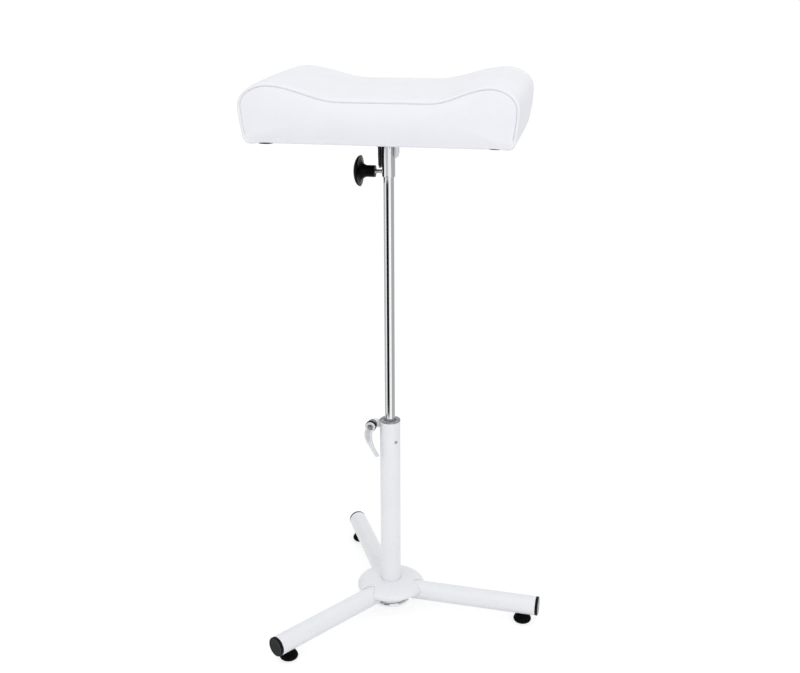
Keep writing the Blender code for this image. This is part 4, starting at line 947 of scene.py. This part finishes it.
def smoothstep(value, low, high):
    t = np.clip((value - low) / (high - low), 0, 1)
    return t * t * (3 - 2 * t)


def pucker(distance, along, phase):
    """Small pulls of the cover where the seam draws it in."""
    wave = np.sin(along * 0.47 + phase) + 0.6 * np.sin(along * 0.83 + 1.7 * phase)
    return 0.16 * wave * math.exp(-((distance - 7) / 5.0) ** 2)


def pulled_up(x):
    """Where the front's lower rim is drawn up, so that the black cloth shows below it."""
    return 0.95 * np.exp(-((x + 160) / 11.5) ** 4) + 0.85 * np.exp(-((x - 162) / 10.0) ** 4)


def hem_rise(x):
    """How far the front's lower rim rises between the corners, where the cover is stapled."""
    between = smoothstep(x, -172, -158) * (1 - smoothstep(x, 160, 172))
    return between * (1.3 - 0.5 * smoothstep(x, -70, 50))


def side_rows(outline, sign):
    """Rings from the cover's side to the edge of one end face; sign is 1 at the front."""
    normal = inward(outline)
    along = np.cumsum(np.linalg.norm(outline - np.roll(outline, 1, axis=0), axis=1))
    seam = smoothstep(outline[:, 1], 2.0, 13.0)
    plain = 1 - seam
    lifted, rise = (pulled_up(outline[:, 0]), hem_rise(outline[:, 0])) if sign > 0 else (0, 0)
    rows = []
    for groove, fold in zip(GROOVE, FOLD):
        deep = groove[0] * seam + max(fold[0], 0) * plain
        deep = deep + min(fold[0], 0) * plain * (1 - lifted)
        deep = deep + rise * plain * (1 - float(smoothstep(fold[1], 7, 22)))
        back = groove[1] * seam + fold[1] * plain
        deep = deep - pucker(groove[1], along, 1.0 if sign > 0 else 2.3) * seam
        points = outline + normal * deep[:, None]
        rows.append((points, END_Y[sign] + sign * back))
    return rows


def crowned(points, y):
    """Rings over the cover's length swell towards its middle, at the top and the sides."""
    share = np.clip((np.asarray(y, float) - CUSHION_FRONT) / CUSHION_DEPTH, 0, 1)
    swell = 1 - np.abs(2 * share - 1) ** 3
    x = points[:, 0] * (1 + SIDE_CROWN / SIDE_X * swell)
    z = points[:, 1] + swell * np.interp(points[:, 1], CROWN_HEIGHTS, CROWN_RISES)
    return np.stack([x, np.broadcast_to(y, x.shape), CUSHION_LOW + z], axis=1)


def face_rows(edge, sign):
    """Rings that shrink towards the middle of one end face, with its crown."""
    points, y = edge
    middle = VALLEY_Z / 2
    rows = []
    for share in FACE:
        x = points[:, 0] * (1 - 0.42 * share)
        z = middle + (points[:, 1] - middle) * (1 - 0.985 * share)
        rise = 1 - (1 - share) ** 2
        out = y * (1 - rise) + (END_Y[sign] - sign * FACE_CROWN) * rise
        rows.append(np.stack([x, out, CUSHION_LOW + z], axis=1))
    return rows


def cushion_mesh():
    start, stop = end_outline(FRONT_SHAPE), end_outline(BACK_SHAPE)
    front, back = side_rows(start, 1), side_rows(stop, -1)
    rings = face_rows(front[-1], 1)[::-1]
    rings += [crowned(points, y) for points, y in reversed(front)]
    first, last = CUSHION_FRONT + EDGE_DEPTH, CUSHION_BACK - EDGE_DEPTH
    for share in np.linspace(0, 1, 26)[1:-1]:
        outline = start + (stop - start) * share
        rings.append(crowned(outline, first + (last - first) * share))
    rings += [crowned(points, y) for points, y in back]
    rings += face_rows(back[-1], -1)
    return closed_strips(rings, len(start))


def closed_strips(rings, count):
    """Faces between the rings; each end is closed by strips from its upper to its lower run."""
    verts = [tuple(p) for ring in rings for p in ring]
    faces = ring_faces(len(rings), count)
    for start in (0, len(verts) - count):
        for k in range(count // 2):
            quad = [start + k, start + k + 1, start + (count - k - 1) % count,
                    start + (count - k) % count]
            faces.append(list(dict.fromkeys(quad)))
    return verts, faces


def make_cushion():
    cushion = mesh_object("cushion", *cushion_mesh(), TILT)
    board = rounded_box(-174.3, 174.3, CUSHION_FRONT + 10.7, CUSHION_BACK - 10.7, 15)
    pocket = prism("pocket", board, 8.0, CUSHION_LOW + 10.3, TILT)
    carve(cushion, pocket)
    stand_for(cushion, "cushion", "white_faux_leather")


def make_piping(name, sign):
    """The covered seam cord, from under one foot corner over the top to the other."""
    outline = end_outline(FRONT_SHAPE if sign > 0 else BACK_SHAPE)
    line = outline + inward(outline) * PIPING_INSET
    count = len(outline)
    foot = FOOT_X - FOOT_CORNER
    start = next(k for k in range(count - 1, 0, -1) if outline[k][0] < foot)
    path = []
    for k in (*range(start + 1, count), *range(count)):
        path.append(line[k])
        if len(path) > 40 and line[k][0] < -foot and outline[k][1] < 0.5:
            break
    y = END_Y[sign] + sign * PIPING_INSET
    points = [(x, y, CUSHION_LOW + z) for x, z in path]
    radii = [PIPING_RADIUS] * len(points)
    radii[0] = radii[-1] = PIPING_RADIUS * 0.55
    stand_for(tube("piping", points, radii, TILT), name, "piping_leather")


# Stage
# The way to the camera from the pole, along the floor
CAMERA_SIDE = math.atan2(-0.9765, 0.2155)
FLOOR_SIZE = 120.0
FLOOR_STRIP = 0.004


def make_floor():
    mesh = bpy.data.meshes.new("floor")
    grid = bmesh.new()
    bmesh.ops.create_grid(grid, x_segments=8, y_segments=8, size=FLOOR_SIZE)
    grid.to_mesh(mesh)
    grid.free()
    floor = placed("floor", mesh)
    look = Look("floor", (0.78, 0.78, 0.79), 0.9)
    look.tint(look.noise(0.6, 3.0), (0.77, 0.77, 0.78), (0.79, 0.79, 0.80))
    glow = look.node("Emission", Color=(1, 1, 1, 1), Strength=0.72)
    pale = look.node("BsdfDiffuse", Color=(0.36, 0.36, 0.36, 1))
    both = look.node("AddShader")
    for index, shader in enumerate((glow, pale)):
        look.link(shader.outputs[0], both, index)
    show_by_ray(look.tree, look.shader, both)
    mesh.materials.append(look.material)


def show_by_ray(tree, other, seen):
    """Shows one shader to rays from the camera or off metal and glass, and the other to all
    the rest, in a material or world."""
    path = tree.nodes.new("ShaderNodeLightPath")
    total = path.outputs["Is Camera Ray"]
    for name in ("Is Glossy Ray", "Is Transmission Ray"):
        both = tree.nodes.new("ShaderNodeMath")
        both.operation = "MAXIMUM"
        tree.links.new(total, both.inputs[0])
        tree.links.new(path.outputs[name], both.inputs[1])
        total = both.outputs[0]
    mix = tree.nodes.new("ShaderNodeMixShader")
    for index, output in enumerate((total, other.outputs[0], seen.outputs[0])):
        tree.links.new(output, mix.inputs[index])
    show(tree, mix)


def show(tree, shader):
    out = next(n for n in tree.nodes if n.type.startswith("OUTPUT"))
    tree.links.new(shader.outputs[0], out.inputs["Surface"])


def make_card(name, degrees, half_angle, height, grey, reach=(0.55, 1.0)):
    """A flag that only shiny surfaces see: a wall of so many degrees, seen from the pole, and
    a strip of floor before it. The degrees count to the right from the camera's side."""
    angles = [CAMERA_SIDE + math.radians(degrees + half_angle * share)
              for share in np.linspace(-1, 1, 7)]
    low, high = height
    rows = [(reach[1], high), (reach[1], low)]
    if low <= FLOOR_STRIP:
        rows.append((reach[0], FLOOR_STRIP))
    verts = [(SWIVEL[0] + far * math.cos(a), SWIVEL[1] + far * math.sin(a), z)
             for far, z in rows for a in angles]
    count = len(angles)
    faces = [(r * count + k, r * count + k + 1, (r + 1) * count + k + 1, (r + 1) * count + k)
             for r in range(len(rows) - 1) for k in range(count - 1)]
    mesh = bpy.data.meshes.new(name)
    mesh.from_pydata(verts, [], faces)
    card = placed(name, mesh)
    look = Look(name, (grey, grey, grey), 1.0)
    show(look.tree, look.node("Emission", Color=(grey, grey, grey, 1)))
    mesh.materials.append(look.material)
    for rays in ("camera", "diffuse", "shadow", "transmission"):
        setattr(card, "visible_" + rays, False)


def make_light(name, place, aim, size, energy, colour):
    data = bpy.data.lights.new(name, "AREA")
    data.shape = "DISK"
    data.size, data.energy, data.color = size, energy, colour
    lamp = placed(name, data)
    lamp.location = place
    lamp.rotation_euler = (Vector(aim) - Vector(place)).to_track_quat("-Z", "Y").to_euler()
    lamp.visible_glossy = False


def make_world():
    world = bpy.data.worlds.new("studio")
    world.use_nodes = True
    bpy.context.scene.world = world
    tree = world.node_tree
    soft, bright = tree.nodes["Background"], tree.nodes.new("ShaderNodeBackground")
    for node, colour, strength in ((soft, (0.985, 0.99, 1.0, 1.0), 0.87),
                                   (bright, (1, 1, 1, 1), 1.0)):
        node.inputs["Color"].default_value = colour
        node.inputs["Strength"].default_value = strength
    show_by_ray(tree, soft, bright)


def make_camera():
    """The camera fitted to the photograph; the focal length and width are in its pixels."""
    distance, height = 1.530336, 0.956603
    pitch, yaw, roll, about = 0.31557, 0.010194, -0.002278, 0.217141
    cp, sp = math.cos(pitch), math.sin(pitch)
    ahead = Vector((math.sin(yaw) * cp, math.cos(yaw) * cp, -sp))
    right = ahead.cross(Vector((0, 0, 1))).normalized()
    up = right.cross(ahead)
    across = math.cos(roll) * right + math.sin(roll) * up
    above = -math.sin(roll) * right + math.cos(roll) * up
    turned = Matrix((across, above, -ahead)).transposed().to_4x4()
    place = STAND @ Matrix.Rotation(about, 4, "Z")
    focal, width, sensor = 1067.866, 800.0, 36.0
    data = bpy.data.cameras.new("camera")
    data.sensor_width = sensor
    data.lens = focal * sensor / width
    data.clip_start, data.clip_end = 0.05, 400.0
    camera = placed("camera", data)
    camera.matrix_world = place @ Matrix.Translation((0, -distance, height)) @ turned
    bpy.context.scene.camera = camera


def dress_hidden_nodes():
    """The small and inner solids that stay as they are get their materials."""
    for part in frame["record"]["subparts"]:
        node = frame["nodes"][part["node"]]
        if node.hide_render:
            continue
        node.data.materials.clear()
        node.data.materials.append(LOOKS[part["material_slot"]].material)


def main():
    make_hub()
    make_plate()
    make_base_bolt()
    for name, degrees in LEGS.items():
        make_leg(name, degrees)
        make_glide(name, degrees)
    make_column()
    make_bush()
    make_lugs()
    make_lever()
    make_pole()
    make_sleeve()
    make_knob()
    make_pivot()
    make_bracket("bracket_left", -1, 34.5, "black_paint")
    make_bracket("bracket_right", 1, 19.5, "satin_chrome")
    make_bracket_screws()
    make_cloth()
    make_staples()
    make_cushion()
    make_piping("piping_front", 1)
    make_piping("piping_back", -1)
    dress_hidden_nodes()
    make_floor()
    make_card("card_dark", -33, 27, (FLOOR_STRIP, 0.525), 0.012, reach=(0.80, 1.0))
    make_card("card_dark_top", -31, 16, (0.525, 1.3), 0.60)
    make_card("card_right", 88, 46, (FLOOR_STRIP, 1.3), 0.48)
    make_card("card_right_edge", 46, 5, (0.56, 1.3), 0.36, reach=(0.5, 0.98))
    make_card("card_left", -118, 36, (FLOOR_STRIP, 1.3), 0.58)
    make_light("key", (1.6, -2.6, 2.0), (0, 0, 0.5), 2.2, 24, (0.985, 0.99, 1.0))
    make_light("fill", (-2.2, -2.0, 1.2), (0, 0, 0.5), 2.4, 5, (0.98, 0.99, 1.0))
    make_light("top", (0.0, -0.8, 5.0), (0, 0, 0.5), 2.4, 8, (0.98, 1.0, 0.99))
    make_world()
    make_camera()
    bpy.context.scene.view_settings.view_transform = "Standard"


main()
